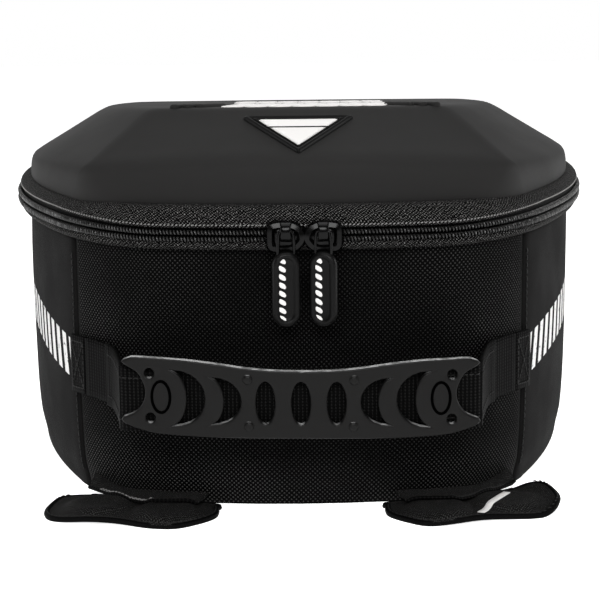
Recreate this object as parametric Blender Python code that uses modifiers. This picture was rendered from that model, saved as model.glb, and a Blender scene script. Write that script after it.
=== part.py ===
"""Magnetic motorcycle tank bag: moulded lid on a zip, soft case, grip and four magnet flaps.

Metres, +Z up. The front, with the zip sliders and the grip, faces -Y and +X is right.
The origin is on the ground under the middle of the bag.
"""
from math import atan, cos, degrees, pi, radians, sin

import bmesh
import bpy
from mathutils import Matrix, Vector

OBJECT_NAME = "tank_bag"
GAP = 0.0003

# Plan of the bag: a chain of tangent arcs from the front middle round to the rear middle.
# Each arc runs between two headings of the outward normal, counted from the front.
HEADINGS = (0.0, 11.0, 66.0, 99.0, 167.0, 180.0)
BAG_RADII = (0.320, 0.068, 0.430, 0.064)
CROWN_RADII = (0.350, 0.014, 0.320, 0.026)
ARC_STEPS = (3, 7, 5, 7, 3)

# Heights above the ground.
PAD_TOP = 0.0031
ZIP_TOP = 0.1260
ZIP_MIDDLE = ZIP_TOP - 0.0039
CASE_TOP = ZIP_TOP - 0.0141
BAND_TOP = ZIP_TOP + 0.0061
COIL_WIDTH = 0.0037

# Lid heights at the front of the bag, and how far each level falls per metre towards the rear.
LID_SHOULDER = 0.1490
CROWN_HEIGHT = 0.1713
TOP_HEIGHT = 0.1728
SHOULDER_FALL = 0.030
CROWN_FALL = 0.045

# Insets from the zip's outermost line.
CASE_INSET = 0.0065
LID_INSET = 0.0075
COIL_DEPTH = 0.0022
TAPE_INSET = 0.0029
STIFFENER_INSET = 0.0096
LINER_INSET = 0.0128
PAD_INSET = 0.0110

PANEL_THICKNESS = 0.0016
STIFFENER_THICKNESS = 0.0030
LINER_THICKNESS = 0.0008
TRIM_THICKNESS = 0.0012
TAPE_THICKNESS = 0.0006
SHELL_THICKNESS = 0.0040

SEAM_HEADING = 56.0
REAR_SEAM_HEADING = 135.0
ZIP_END_HEADING = 158.0

# Crown of the lid, measured from the front of the bag.
CROWN_SETBACK = 0.062

# Triangular badge on the lid's front facet.
BADGE_HALF_WIDTH = 0.0242
BADGE_LENGTH = 0.0440
BADGE_BORDER = 0.0022
BADGE_RISE = 0.0014
BADGE_PLACE = 0.42

PRINT_SIZE = (0.064, 0.110, 0.0008)

# Zip sliders and pulls.
SLIDER_HEADINGS = {"left": -1.0, "right": 1.75}
SLIDER_WIDTH = 0.0130
SLIDER_HEIGHT = 0.0115
SLIDER_PLATE = 0.0020
BRIDGE_WIRE = 0.0009
BRIDGE_REACH = 0.0042
LINK_WIRE = 0.0007
LINK_LENGTH = 0.0100
LINK_HALF_WIDTH = 0.0044
PULL_LENGTH = 0.0310
PULL_WIDTH = 0.0110
PULL_THICKNESS = 0.0046
PULL_HOLE = 0.0012

# Carry handle.
HANDLE_HEADING = 46.0
HANDLE_HEIGHT = 0.0585
WEBBING_WIDTH = 0.0260
WEBBING_THICKNESS = 0.0016
GRIP_HALF_LENGTH = 0.0730
GRIP_HEIGHT = 0.0335
GRIP_THICKNESS = 0.0100
GRIP_DROP = 0.0053
GRIP_REACH = 0.0180
PATCH_LENGTH = 0.0120

# Magnet flaps.
FLAP_HEADING = 17.5
FLAP_INSET = 0.0100
FLAP_NECK = 0.0050
FLAP_LENGTH = 0.0335
FLAP_WIDTH = 0.0680
FLAP_CORNER = 0.0120
FLAP_COVER = 0.0046
FLAP_BASE = 0.0012
NECK_WIDTH = 0.0500
MAGNET_RADIUS = 0.0100
MAGNET_THICKNESS = 0.0026
MAGNET_SPREAD = 0.0160

MATERIALS = {
    "ballistic_nylon": ((0.022, 0.022, 0.024), 0.72, 0.0),
    "side_cloth": ((0.018, 0.018, 0.020), 0.60, 0.0),
    "foam_board": ((0.10, 0.10, 0.10), 0.90, 0.0),
    "lining": ((0.060, 0.060, 0.065), 0.80, 0.0),
    "base_rubber": ((0.020, 0.020, 0.020), 0.85, 0.0),
    "band_weave": ((0.030, 0.030, 0.032), 0.75, 0.0),
    "zip_tape": ((0.015, 0.015, 0.016), 0.80, 0.0),
    "zip_coil": ((0.020, 0.020, 0.021), 0.40, 0.0),
    "eva_shell": ((0.028, 0.027, 0.026), 0.65, 0.0),
    "badge_rubber": ((0.016, 0.016, 0.016), 0.45, 0.0),
    "badge_face": ((0.45, 0.45, 0.45), 0.55, 0.0),
    "print_white": ((0.80, 0.80, 0.80), 0.60, 0.0),
    "slider_metal": ((0.020, 0.020, 0.022), 0.25, 1.0),
    "pull_rubber": ((0.025, 0.025, 0.026), 0.50, 0.0),
    "grip_rubber": ((0.030, 0.033, 0.032), 0.48, 0.0),
    "webbing": ((0.018, 0.018, 0.019), 0.70, 0.0),
    "flap_cloth": ((0.020, 0.020, 0.021), 0.75, 0.0),
    "magnet": ((0.55, 0.55, 0.57), 0.30, 1.0),
}


# ---------------------------------------------------------------- plan outlines

def plan_arcs(radii, front_y):
    """The chain as (end heading, radius, centre x, centre y); the last arc closes on X = 0."""
    arcs = []
    x = 0.0
    y = front_y
    for index, end in enumerate(HEADINGS[1:]):
        start = radians(HEADINGS[index])
        radius = radii[index] if index < len(radii) else x / sin(start)
        centre_x = x - radius * sin(start)
        centre_y = y + radius * cos(start)
        arcs.append((end, radius, centre_x, centre_y))
        x = centre_x + radius * sin(radians(end))
        y = centre_y - radius * cos(radians(end))
    return arcs


def plan_point(arcs, heading, inset=0.0):
    """Point of the outline whose outward normal has this heading, moved inward by the inset."""
    turn = abs(heading)
    for end, radius, centre_x, centre_y in arcs:
        if turn <= end:
            break
    x = centre_x + (radius - inset) * sin(radians(turn))
    y = centre_y - (radius - inset) * cos(radians(turn))
    return Vector((x if heading >= 0.0 else -x, y))


def plan_depth(radii, front_y=0.0):
    return plan_point(plan_arcs(radii, front_y), 180.0).y


def heading_steps(start, stop):
    """Headings from start to stop: each arc's own steps, with both ends."""
    steps = []
    for index, count in enumerate(ARC_STEPS):
        low = HEADINGS[index]
        span = HEADINGS[index + 1] - low
        steps += [low + span * step / count for step in range(count)]
    steps.append(180.0)
    steps += [-step for step in steps if 0.0 < step < 180.0]
    inner = sorted(step for step in steps if start + 1.0 < step < stop - 1.0)
    return [start] + inner + [stop]


FULL_TURN = heading_steps(-180.0, 180.0)[:-1]
BAG_DEPTH = plan_depth(BAG_RADII)
FRONT_Y = -BAG_DEPTH / 2
REAR_Y = BAG_DEPTH / 2
BAG = plan_arcs(BAG_RADII, FRONT_Y)
CROWN = plan_arcs(CROWN_RADII, FRONT_Y + CROWN_SETBACK)


def bag_point(heading, inset, height):
    return plan_point(BAG, heading, inset).to_3d() + Vector((0.0, 0.0, height))


def outward(heading):
    return Vector((sin(radians(heading)), -cos(radians(heading)), 0.0))


# ---------------------------------------------------------------- building helpers

def clear_scene():
    for item in list(bpy.data.objects):
        bpy.data.objects.remove(item, do_unlink=True)


def make_collection(name):
    collection = bpy.data.collections.new(name)
    bpy.context.scene.collection.children.link(collection)
    return collection


def make_material(name):
    color, roughness, metallic = MATERIALS[name]
    material = bpy.data.materials.new(name)
    material.use_nodes = True
    shader = material.node_tree.nodes["Principled BSDF"]
    shader.inputs["Base Color"].default_value = (*color, 1.0)
    shader.inputs["Roughness"].default_value = roughness
    shader.inputs["Metallic"].default_value = metallic
    material.diffuse_color = (*color, 1.0)
    return material


clear_scene()
PARTS = make_collection(OBJECT_NAME)
CUTTERS = make_collection("cutters")
SLOTS = {name: make_material(name) for name in MATERIALS}


def add_part(name, data, slot, origin=(0.0, 0.0, 0.0), turn=0.0):
    part = bpy.data.objects.new(name, data)
    part.location = origin
    part.rotation_euler = (0.0, 0.0, turn)
    if not data.materials:
        data.materials.append(SLOTS[slot])
    PARTS.objects.link(part)
    return part


def mesh_from(form, name, smooth=True):
    mesh = bpy.data.meshes.new(name)
    form.to_mesh(mesh)
    form.free()
    if smooth:
        mesh.shade_smooth()
        mesh.set_sharp_from_angle(angle=radians(35.0))
    return mesh


def solidify(part, thickness):
    """Thicken an open surface inward, away from its normals."""
    shell = part.modifiers.new("thickness", "SOLIDIFY")
    shell.thickness = thickness
    shell.offset = -1.0
    shell.use_even_offset = True
    return shell


def loft(name, sections, closed, cap_top=False, cap_bottom=False):
    """Skin a stack of point rows, lowest first, each running from left round to the right."""
    form = bmesh.new()
    rows = [[form.verts.new(point) for point in section] for section in sections]
    count = len(rows[0])
    spans = count if closed else count - 1
    for lower, upper in zip(rows, rows[1:]):
        for index in range(spans):
            after = (index + 1) % count
            form.faces.new((lower[index], lower[after], upper[after], upper[index]))
    if cap_top:
        form.faces.new(rows[-1])
    if cap_bottom:
        form.faces.new(rows[0][::-1])
    return mesh_from(form, name)


def wall(name, slot, headings, profile, thickness, closed=False, cap_bottom=False):
    """A strip of wall that follows the bag's plan; profile is (inset, height) from the bottom up."""
    sections = [[bag_point(heading, inset, height) for heading in headings] for inset, height in profile]
    part = add_part(name, loft(name, sections, closed, cap_bottom=cap_bottom), slot)
    solidify(part, thickness)
    return part


def box_mesh(name, size, centre=(0.0, 0.0, 0.0), edge=0.0, segments=2):
    form = bmesh.new()
    bmesh.ops.create_cube(form, size=1.0)
    bmesh.ops.scale(form, vec=size, verts=form.verts)
    if edge:
        bmesh.ops.bevel(form, geom=form.edges[:], offset=edge, segments=segments, profile=0.5,
                        affect="EDGES")
    bmesh.ops.translate(form, vec=centre, verts=form.verts)
    return mesh_from(form, name)


def cut(part, cutter):
    cutter.hide_render = True
    cutter.display_type = "WIRE"
    boolean = part.modifiers.new("cut", "BOOLEAN")
    boolean.operation = "DIFFERENCE"
    boolean.solver = "EXACT"
    boolean.object = cutter


def add_cutter(name, mesh, origin, turn=0.0):
    cutter = bpy.data.objects.new(name, mesh)
    cutter.location = origin
    cutter.rotation_euler = (0.0, 0.0, turn)
    CUTTERS.objects.link(cutter)
    return cutter


def wire_curve(name, points, radius, closed=False, resolution=2):
    curve = bpy.data.curves.new(name, "CURVE")
    curve.dimensions = "3D"
    curve.bevel_depth = radius
    curve.bevel_resolution = resolution
    curve.use_fill_caps = True
    spline = curve.splines.new("POLY")
    spline.points.add(len(points) - 1)
    for target, point in zip(spline.points, points):
        target.co = (*point, 1.0)
    spline.use_cyclic_u = closed
    return curve


# ---------------------------------------------------------------- case

def make_case():
    inner = CASE_INSET + 0.0010
    panel = [
        (0.0140, PAD_TOP + GAP),
        (0.0100, 0.0065),
        (inner, 0.0130),
        (CASE_INSET, 0.0600),
        (CASE_INSET, CASE_TOP),
    ]
    seam = degrees(GAP / 2 / BAG_RADII[1])
    front = heading_steps(-SEAM_HEADING, SEAM_HEADING)
    side = heading_steps(SEAM_HEADING + 2 * seam, REAR_SEAM_HEADING)
    rear = heading_steps(REAR_SEAM_HEADING + 2 * seam, 180.0)
    rear += [-heading for heading in rear[-2::-1]]
    wall("front_panel", "ballistic_nylon", front, panel, PANEL_THICKNESS)
    wall("side_panel_right", "side_cloth", side, panel, PANEL_THICKNESS)
    wall("side_panel_left", "side_cloth", [-heading for heading in side[::-1]], panel, PANEL_THICKNESS)
    wall("rear_panel", "ballistic_nylon", rear, panel, PANEL_THICKNESS)

    rim = ZIP_MIDDLE - 0.0018
    wall("wall_stiffener", "foam_board", FULL_TURN, [(STIFFENER_INSET, 0.0135), (STIFFENER_INSET, rim)],
         STIFFENER_THICKNESS, closed=True)
    cup = [(LINER_INSET, 0.0094), (LINER_INSET, rim)]
    wall("body_liner", "lining", FULL_TURN, cup, LINER_THICKNESS, closed=True, cap_bottom=True)
    plate("floor_board", "foam_board", 0.0165, 0.0060, 0.0090)
    plate("base_pad", "base_rubber", PAD_INSET, 0.0, PAD_TOP)


def plate(name, slot, inset, bottom, top):
    """A flat board with the bag's plan."""
    curve = bpy.data.curves.new(name, "CURVE")
    curve.dimensions = "2D"
    curve.fill_mode = "BOTH"
    curve.extrude = (top - bottom) / 2
    spline = curve.splines.new("POLY")
    spline.points.add(len(FULL_TURN) - 1)
    for target, heading in zip(spline.points, FULL_TURN):
        target.co = (*plan_point(BAG, heading, inset), 0.0, 1.0)
    spline.use_cyclic_u = True
    return add_part(name, curve, slot, origin=(0.0, 0.0, (top + bottom) / 2))


# ---------------------------------------------------------------- zip band

def make_band():
    zip_run = heading_steps(-ZIP_END_HEADING, ZIP_END_HEADING)
    hinge_run = heading_steps(ZIP_END_HEADING + 0.6, 180.0)
    hinge_run += [-heading for heading in hinge_run[-2::-1]]

    upper_trim = [(0.0008, ZIP_TOP + 0.0008), (0.0050, BAND_TOP)]
    lower_trim = [
        (0.0058, CASE_TOP + 0.0007),
        (0.0020, CASE_TOP + 0.0009),
        (0.0008, ZIP_TOP - 0.0083),
    ]
    wall("upper_trim", "band_weave", FULL_TURN, upper_trim, TRIM_THICKNESS, closed=True)
    wall("lower_trim", "band_weave", FULL_TURN, lower_trim, TRIM_THICKNESS, closed=True)

    split_low = ZIP_MIDDLE - GAP / 2
    split_high = ZIP_MIDDLE + GAP / 2
    upper_coil = [(0.0, split_high), (0.0, split_high + COIL_WIDTH)]
    lower_coil = [(0.0, split_low - COIL_WIDTH), (0.0, split_low)]
    wall("upper_coil", "zip_coil", zip_run, upper_coil, COIL_DEPTH)
    wall("lower_coil", "zip_coil", zip_run, lower_coil, COIL_DEPTH)

    upper_tape = [(TAPE_INSET, split_high), (TAPE_INSET, ZIP_TOP - 0.0002), (0.0060, BAND_TOP - 0.0020)]
    lower_tape = [(TAPE_INSET, CASE_TOP + 0.0030), (TAPE_INSET, split_low)]
    wall("upper_tape", "zip_tape", zip_run, upper_tape, TAPE_THICKNESS)
    wall("lower_tape", "zip_tape", zip_run, lower_tape, TAPE_THICKNESS)
    wall("upper_hinge_leaf", "band_weave", hinge_run, upper_tape, TAPE_THICKNESS)
    wall("lower_hinge_leaf", "band_weave", hinge_run, lower_tape, TAPE_THICKNESS)


# ---------------------------------------------------------------- lid

def lid_sections(inset):
    """Rows of the lid from its rim to its crown, moved inward by the inset along each heading."""
    def bag_row(extra, height, fall):
        points = [plan_point(BAG, heading, LID_INSET + inset + extra) for heading in FULL_TURN]
        return [fallen(point, height, fall) for point in points]

    def crown_row(extra, height):
        points = [plan_point(CROWN, heading, inset + extra) for heading in FULL_TURN]
        return [fallen(point, height, CROWN_FALL) for point in points]

    drop = inset
    return [
        bag_row(0.0, ZIP_MIDDLE + 0.0020, 0.0),
        bag_row(0.0005, LID_SHOULDER - 0.0040, SHOULDER_FALL),
        bag_row(0.0020, LID_SHOULDER - drop, SHOULDER_FALL),
        bag_row(0.0060, LID_SHOULDER + 0.0020 - drop, SHOULDER_FALL),
        crown_row(0.0, CROWN_HEIGHT - drop),
        crown_row(0.0070, TOP_HEIGHT - drop),
    ]


def fallen(point, height, fall):
    """A plan point at a height given for the front of the bag."""
    return Vector((point.x, point.y, height - fall * (point.y - FRONT_Y)))


def facet_frame(share):
    """A point on the lid's front facet and the slope's upward direction along it."""
    low = fallen(Vector((0.0, FRONT_Y + LID_INSET + 0.0060)), LID_SHOULDER + 0.0020, SHOULDER_FALL)
    high = fallen(Vector((0.0, FRONT_Y + CROWN_SETBACK)), CROWN_HEIGHT, CROWN_FALL)
    slope = (high - low).normalized()
    return low.lerp(high, share), slope


def triangle_outline(curve, half_width, length):
    """A triangle pointing down the facet."""
    spline = curve.splines.new("POLY")
    spline.points.add(2)
    corners = ((-half_width, length / 2), (half_width, length / 2), (0.0, -length / 2))
    for target, corner in zip(spline.points, corners):
        target.co = (*corner, 0.0, 1.0)
    spline.use_cyclic_u = True


def triangle(name, slot, loops, thickness, lift):
    curve = bpy.data.curves.new(name, "CURVE")
    curve.dimensions = "2D"
    curve.fill_mode = "BOTH"
    curve.extrude = thickness / 2
    for half_width, length in loops:
        triangle_outline(curve, half_width, length)
    point, slope = facet_frame(BADGE_PLACE)
    part = add_part(name, curve, slot)
    across = Vector((1.0, 0.0, 0.0))
    normal = across.cross(slope)
    place = Matrix((across, slope, normal)).transposed().to_4x4()
    place.translation = point + normal * (lift + thickness / 2)
    part.matrix_world = place
    return part


def make_lid():
    shell = add_part("lid_shell", loft("lid_shell", lid_sections(0.0), True, cap_top=True), "eva_shell")
    solidify(shell, SHELL_THICKNESS)
    inner = SHELL_THICKNESS + 0.0006
    liner = add_part("lid_liner", loft("lid_liner", lid_sections(inner), True, cap_top=True), "lining")
    solidify(liner, LINER_THICKNESS)

    border = BADGE_BORDER
    outer = (BADGE_HALF_WIDTH, BADGE_LENGTH)
    opening = (BADGE_HALF_WIDTH - 2.0 * border, BADGE_LENGTH - 3.6 * border)
    face = (opening[0] - 2 * GAP, opening[1] - 4 * GAP)
    triangle("badge_frame", "badge_rubber", (outer, opening), BADGE_RISE, GAP)
    triangle("badge_plate", "badge_face", (face,), BADGE_RISE / 2, GAP)

    middle = Vector((0.0, FRONT_Y + CROWN_SETBACK + plan_depth(CROWN_RADII) / 2))
    place = fallen(middle, TOP_HEIGHT + GAP + PRINT_SIZE[2] / 2, CROWN_FALL)
    panel = add_part("print_panel", box_mesh("print_panel", PRINT_SIZE), "print_white", origin=place)
    panel.rotation_euler.x = -atan(CROWN_FALL)


# ---------------------------------------------------------------- sliders and pulls

def pivot_point(heading):
    """Middle of the slider's bridge eye, where the link turns."""
    reach = -(SLIDER_PLATE + 0.0004 + BRIDGE_REACH * 0.5)
    return bag_point(heading, reach, ZIP_MIDDLE - 0.0010)


def slider_mesh():
    """Plate and bridge as one casting, with the link's pivot at its origin and -Y outward."""
    plate_y = BRIDGE_REACH * 0.5 + SLIDER_PLATE / 2
    body = bpy.data.objects.new("slider_body", box_mesh(
        "slider_body", (SLIDER_WIDTH, SLIDER_PLATE, SLIDER_HEIGHT), (0.0, plate_y, 0.0010), 0.0007))
    reach = plate_y + BRIDGE_REACH * 0.5
    rise = SLIDER_HEIGHT * 0.36
    arch = []
    for step in range(9):
        turn = pi * step / 8
        arch.append((0.0, plate_y - reach * sin(turn), 0.0006 - rise * cos(turn)))
    bridge = bpy.data.objects.new("slider_bridge", wire_curve("slider_bridge", arch, BRIDGE_WIRE))
    bridge_part = mesh_object(bridge)
    CUTTERS.objects.link(body)
    join = body.modifiers.new("bridge", "BOOLEAN")
    join.operation = "UNION"
    join.solver = "EXACT"
    join.object = bridge_part
    mesh = baked_mesh(body, "slider")
    bpy.data.objects.remove(body, do_unlink=True)
    bpy.data.objects.remove(bridge_part, do_unlink=True)
    return mesh


def mesh_object(curve_object):
    """Turn a curve object into a mesh object with welded caps."""
    CUTTERS.objects.link(curve_object)
    mesh = baked_mesh(curve_object, curve_object.name)
    form = bmesh.new()
    form.from_mesh(mesh)
    bmesh.ops.remove_doubles(form, verts=form.verts, dist=0.00001)
    form.to_mesh(mesh)
    form.free()
    result = bpy.data.objects.new(curve_object.name + "_mesh", mesh)
    result.matrix_world = curve_object.matrix_world
    bpy.data.objects.remove(curve_object, do_unlink=True)
    CUTTERS.objects.link(result)
    return result


def baked_mesh(source, name):
    graph = bpy.context.evaluated_depsgraph_get()
    mesh = bpy.data.meshes.new_from_object(source.evaluated_get(graph))
    mesh.name = name
    mesh.materials.clear()
    return mesh


def link_curve():
    """Wire loop: its top bar is the pivot, its lower bar runs through the pull's eye."""
    half = LINK_HALF_WIDTH
    bottom = -LINK_LENGTH
    corner = 0.0012
    points = [
        (-half + corner, 0.0, 0.0),
        (half - corner, 0.0, 0.0),
        (half, 0.0, -corner),
        (half, 0.0, bottom + corner),
        (half - corner, 0.0, bottom),
        (-half + corner, 0.0, bottom),
        (-half, 0.0, bottom + corner),
        (-half, 0.0, -corner),
    ]
    return wire_curve("pull_link", points, LINK_WIRE, closed=True, resolution=1)


def pull_mesh():
    """Rounded rubber bar with an eye for the link near its top."""
    top = -LINK_LENGTH + 0.0028
    form = bmesh.new()
    bmesh.ops.create_cube(form, size=1.0)
    bmesh.ops.scale(form, vec=(PULL_WIDTH, PULL_THICKNESS, PULL_LENGTH), verts=form.verts)
    upright = [edge for edge in form.edges if abs(edge.verts[0].co.y - edge.verts[1].co.y) > 0.001]
    bmesh.ops.bevel(form, geom=upright, offset=0.0028, segments=3, profile=0.5, affect="EDGES")
    bmesh.ops.translate(form, vec=(0.0, 0.0, top - PULL_LENGTH / 2), verts=form.verts)
    bar = bpy.data.objects.new("pull_bar", mesh_from(form, "pull_bar"))
    CUTTERS.objects.link(bar)
    eye = bmesh.new()
    bmesh.ops.create_cone(eye, cap_ends=True, segments=12, radius1=PULL_HOLE, radius2=PULL_HOLE, depth=0.02,
                          matrix=Matrix.Translation((0.0, 0.0, -LINK_LENGTH)) @ Matrix.Rotation(pi / 2, 4, "Y"))
    cutter = add_cutter("pull_eye", mesh_from(eye, "pull_eye"), (0.0, 0.0, 0.0))
    notch_size = (0.02, PULL_THICKNESS * 2, 0.0060)
    sides = []
    for side in (-1.0, 1.0):
        offset = side * (0.01 + LINK_HALF_WIDTH - LINK_WIRE - 0.0005)
        centre = (offset, 0.0, -LINK_LENGTH + 0.0008)
        sides.append(add_cutter("pull_notch", box_mesh("pull_notch", notch_size, centre), (0.0, 0.0, 0.0)))
        cut(bar, sides[-1])
    cut(bar, cutter)
    mesh = baked_mesh(bar, "pull")
    for helper in [bar, cutter] + sides:
        bpy.data.objects.remove(helper, do_unlink=True)
    return mesh


def make_sliders():
    casting = slider_mesh()
    wire = link_curve()
    rubber = pull_mesh()
    for side, heading in SLIDER_HEADINGS.items():
        pivot = pivot_point(heading)
        turn = radians(heading)
        add_part("slider_" + side, casting, "slider_metal", pivot, turn)
        add_part("pull_link_" + side, wire, "slider_metal", pivot, turn)
        add_part("pull_" + side, rubber, "pull_rubber", pivot, turn)


# ---------------------------------------------------------------- handle

def handle_path():
    """Middle line of the webbing in plan, from the left anchor to the right one."""
    anchor = plan_point(BAG, HANDLE_HEADING, CASE_INSET - 0.0020)
    grip_back = FRONT_Y + CASE_INSET - GRIP_REACH
    tangent = Vector((-cos(radians(HANDLE_HEADING)), -sin(radians(HANDLE_HEADING))))
    leave = anchor + tangent * 0.022
    start = Vector((GRIP_HALF_LENGTH + 0.002, grip_back + 0.0060))
    half = [anchor]
    for step in range(1, 9):
        share = step / 8
        control = leave.lerp(start, share)
        half.append(anchor.lerp(leave, share).lerp(control, share))
    for step in range(1, 7):
        share = step / 6
        x = start.x * (1.0 - share)
        half.append(Vector((x, grip_back + 0.0060 * (x / start.x) ** 2)))
    left = [Vector((-point.x, point.y)) for point in half]
    return left + half[-2::-1]


def make_handle():
    path = handle_path()
    low = HANDLE_HEIGHT - WEBBING_WIDTH / 2
    high = HANDLE_HEIGHT + WEBBING_WIDTH / 2
    anchor = path[0]

    def sag(point):
        share = min(1.0, max(0.0, (point.y - anchor.y) / (-GRIP_REACH)))
        return -GRIP_DROP * share * share * (3.0 - 2.0 * share)

    rows = []
    for height in (low, high):
        rows.append([Vector((point.x, point.y, height + sag(point))) for point in path])
    strap = add_part("handle_webbing", loft("handle_webbing", rows, False), "webbing")
    shell = solidify(strap, WEBBING_THICKNESS)
    shell.offset = 0.0
    make_grip()
    make_patches()


def make_grip():
    front = FRONT_Y + CASE_INSET - GRIP_REACH - WEBBING_THICKNESS / 2 - GAP - 0.0002
    centre_z = HANDLE_HEIGHT - GRIP_DROP
    form = bmesh.new()
    bmesh.ops.create_grid(form, x_segments=12, y_segments=4, size=0.5)
    for vertex in form.verts:
        x = vertex.co.x * 2.0 * GRIP_HALF_LENGTH
        share = abs(x) / GRIP_HALF_LENGTH
        half = GRIP_HEIGHT / 2 * (0.80 + 0.28 * share ** 2 - 0.10 * share ** 6)
        z = centre_z + vertex.co.y * 2.0 * half
        y = front + 0.0060 * share ** 2 * (GRIP_HALF_LENGTH / (GRIP_HALF_LENGTH + 0.002)) ** 2
        vertex.co = (x, y, z)
    grip = add_part("handle_grip", mesh_from(form, "handle_grip"), "grip_rubber")
    shell = solidify(grip, GRIP_THICKNESS)
    shell.offset = 1.0
    shell.use_even_offset = False
    edge = grip.modifiers.new("soft_edge", "BEVEL")
    edge.width = 0.0020
    edge.segments = 2
    edge.limit_method = "ANGLE"
    edge.angle_limit = radians(60.0)


def make_patches():
    """The webbing's sewn ends, flat on the wall just behind the handle's pivot."""
    for side, sign in (("left", -1.0), ("right", 1.0)):
        start = HANDLE_HEADING + 1.6
        stop = start + degrees(PATCH_LENGTH / BAG_RADII[1])
        headings = [start + (stop - start) * step / 4 for step in range(5)]
        headings = headings if sign > 0 else [-heading for heading in headings[::-1]]
        low = HANDLE_HEIGHT - WEBBING_WIDTH / 2
        high = HANDLE_HEIGHT + WEBBING_WIDTH / 2
        inset = CASE_INSET - GAP - 0.0018
        wall("handle_patch_" + side, "webbing", headings, [(inset, low), (inset, high)], 0.0018)


# ---------------------------------------------------------------- magnet flaps

def flap_root(heading):
    return bag_point(heading, FLAP_INSET, 0.0)


def disc_mesh(name, radius, height):
    form = bmesh.new()
    bmesh.ops.create_cone(form, cap_ends=True, segments=20, radius1=radius, radius2=radius, depth=height)
    return mesh_from(form, name)


def pad_mesh(name, width, length, height, corner):
    """A flat pad from the root line outward along -Y, its two free corners rounded."""
    form = bmesh.new()
    bmesh.ops.create_cube(form, size=1.0)
    bmesh.ops.scale(form, vec=(width, length, height), verts=form.verts)
    bmesh.ops.translate(form, vec=(0.0, -length / 2, height / 2), verts=form.verts)
    free = [edge for edge in form.edges if all(vertex.co.y < -length / 2 for vertex in edge.verts)
            and abs(edge.verts[0].co.z - edge.verts[1].co.z) > height / 2]
    bmesh.ops.bevel(form, geom=free, offset=corner, segments=4, profile=0.5, affect="EDGES")
    return form


def flap_cover_mesh():
    form = pad_mesh("flap_cover", FLAP_WIDTH, FLAP_LENGTH, FLAP_COVER, FLAP_CORNER)
    bmesh.ops.translate(form, vec=(0.0, -FLAP_NECK, FLAP_BASE + GAP), verts=form.verts)
    cover = bpy.data.objects.new("flap_cover", mesh_from(form, "flap_cover"))
    CUTTERS.objects.link(cover)
    pocket = disc_mesh("flap_pocket", MAGNET_RADIUS + GAP, 2 * (MAGNET_THICKNESS + GAP))
    pockets = []
    for side in (-1.0, 1.0):
        spot = (side * MAGNET_SPREAD, magnet_y(), FLAP_BASE + GAP)
        pockets.append(add_cutter("flap_pocket", pocket, spot))
        cut(cover, pockets[-1])
    mesh = baked_mesh(cover, "flap_cover")
    for helper in [cover] + pockets:
        bpy.data.objects.remove(helper, do_unlink=True)
    return mesh


def flap_base_mesh():
    """Lower cloth of the flap with the neck that is sewn under the bag's edge."""
    outline = []
    half = FLAP_WIDTH / 2
    neck = NECK_WIDTH / 2
    far = -FLAP_NECK - FLAP_LENGTH
    for step in range(5):
        turn = radians(90.0 * step / 4)
        x = half - FLAP_CORNER + FLAP_CORNER * cos(turn)
        y = far + FLAP_CORNER - FLAP_CORNER * sin(turn)
        outline.append((x, y))
    right = [(neck, -0.0008), (neck, -FLAP_NECK), (half, -FLAP_NECK)] + outline
    points = right + [(-x, y) for x, y in right[::-1]]
    curve = bpy.data.curves.new("flap_base", "CURVE")
    curve.dimensions = "2D"
    curve.fill_mode = "BOTH"
    curve.extrude = FLAP_BASE / 2
    spline = curve.splines.new("POLY")
    spline.points.add(len(points) - 1)
    for target, point in zip(spline.points, points):
        target.co = (*point, 0.0, 1.0)
    spline.use_cyclic_u = True
    return curve


def magnet_y():
    return -FLAP_NECK - FLAP_LENGTH * 0.52


def make_flaps():
    cover = flap_cover_mesh()
    base = flap_base_mesh()
    magnet = disc_mesh("magnet", MAGNET_RADIUS, MAGNET_THICKNESS)
    corners = (
        ("front_left", -FLAP_HEADING),
        ("front_right", FLAP_HEADING),
        ("rear_right", 180.0 - FLAP_HEADING),
        ("rear_left", FLAP_HEADING - 180.0),
    )
    for corner, heading in corners:
        hinge = bpy.data.objects.new("flap_hinge_" + corner, None)
        hinge.location = flap_root(heading)
        hinge.rotation_euler = (0.0, 0.0, radians(heading))
        PARTS.objects.link(hinge)
        pieces = [
            add_part("flap_cover_" + corner, cover, "flap_cloth"),
            add_part("flap_base_" + corner, base, "flap_cloth", (0.0, 0.0, FLAP_BASE / 2)),
        ]
        for label, side in (("a", -1.0), ("b", 1.0)):
            height = FLAP_BASE + GAP + MAGNET_THICKNESS / 2
            spot = (side * MAGNET_SPREAD, magnet_y(), height)
            pieces.append(add_part("magnet_" + corner + "_" + label, magnet, "magnet", spot))
        for piece in pieces:
            piece.parent = hinge


make_case()
make_band()
make_lid()
make_sliders()
make_handle()
make_flaps()
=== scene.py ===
"""Looks of a magnetic motorcycle tank bag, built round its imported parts.

Metres, +Z up. The front, with the zip sliders and the grip, faces -Y and +X is right.
"""
from math import atan, ceil, cos, degrees, exp, hypot, pi, radians, sin

import bmesh
import bpy
import numpy as np
from mathutils import Matrix, Vector


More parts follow.
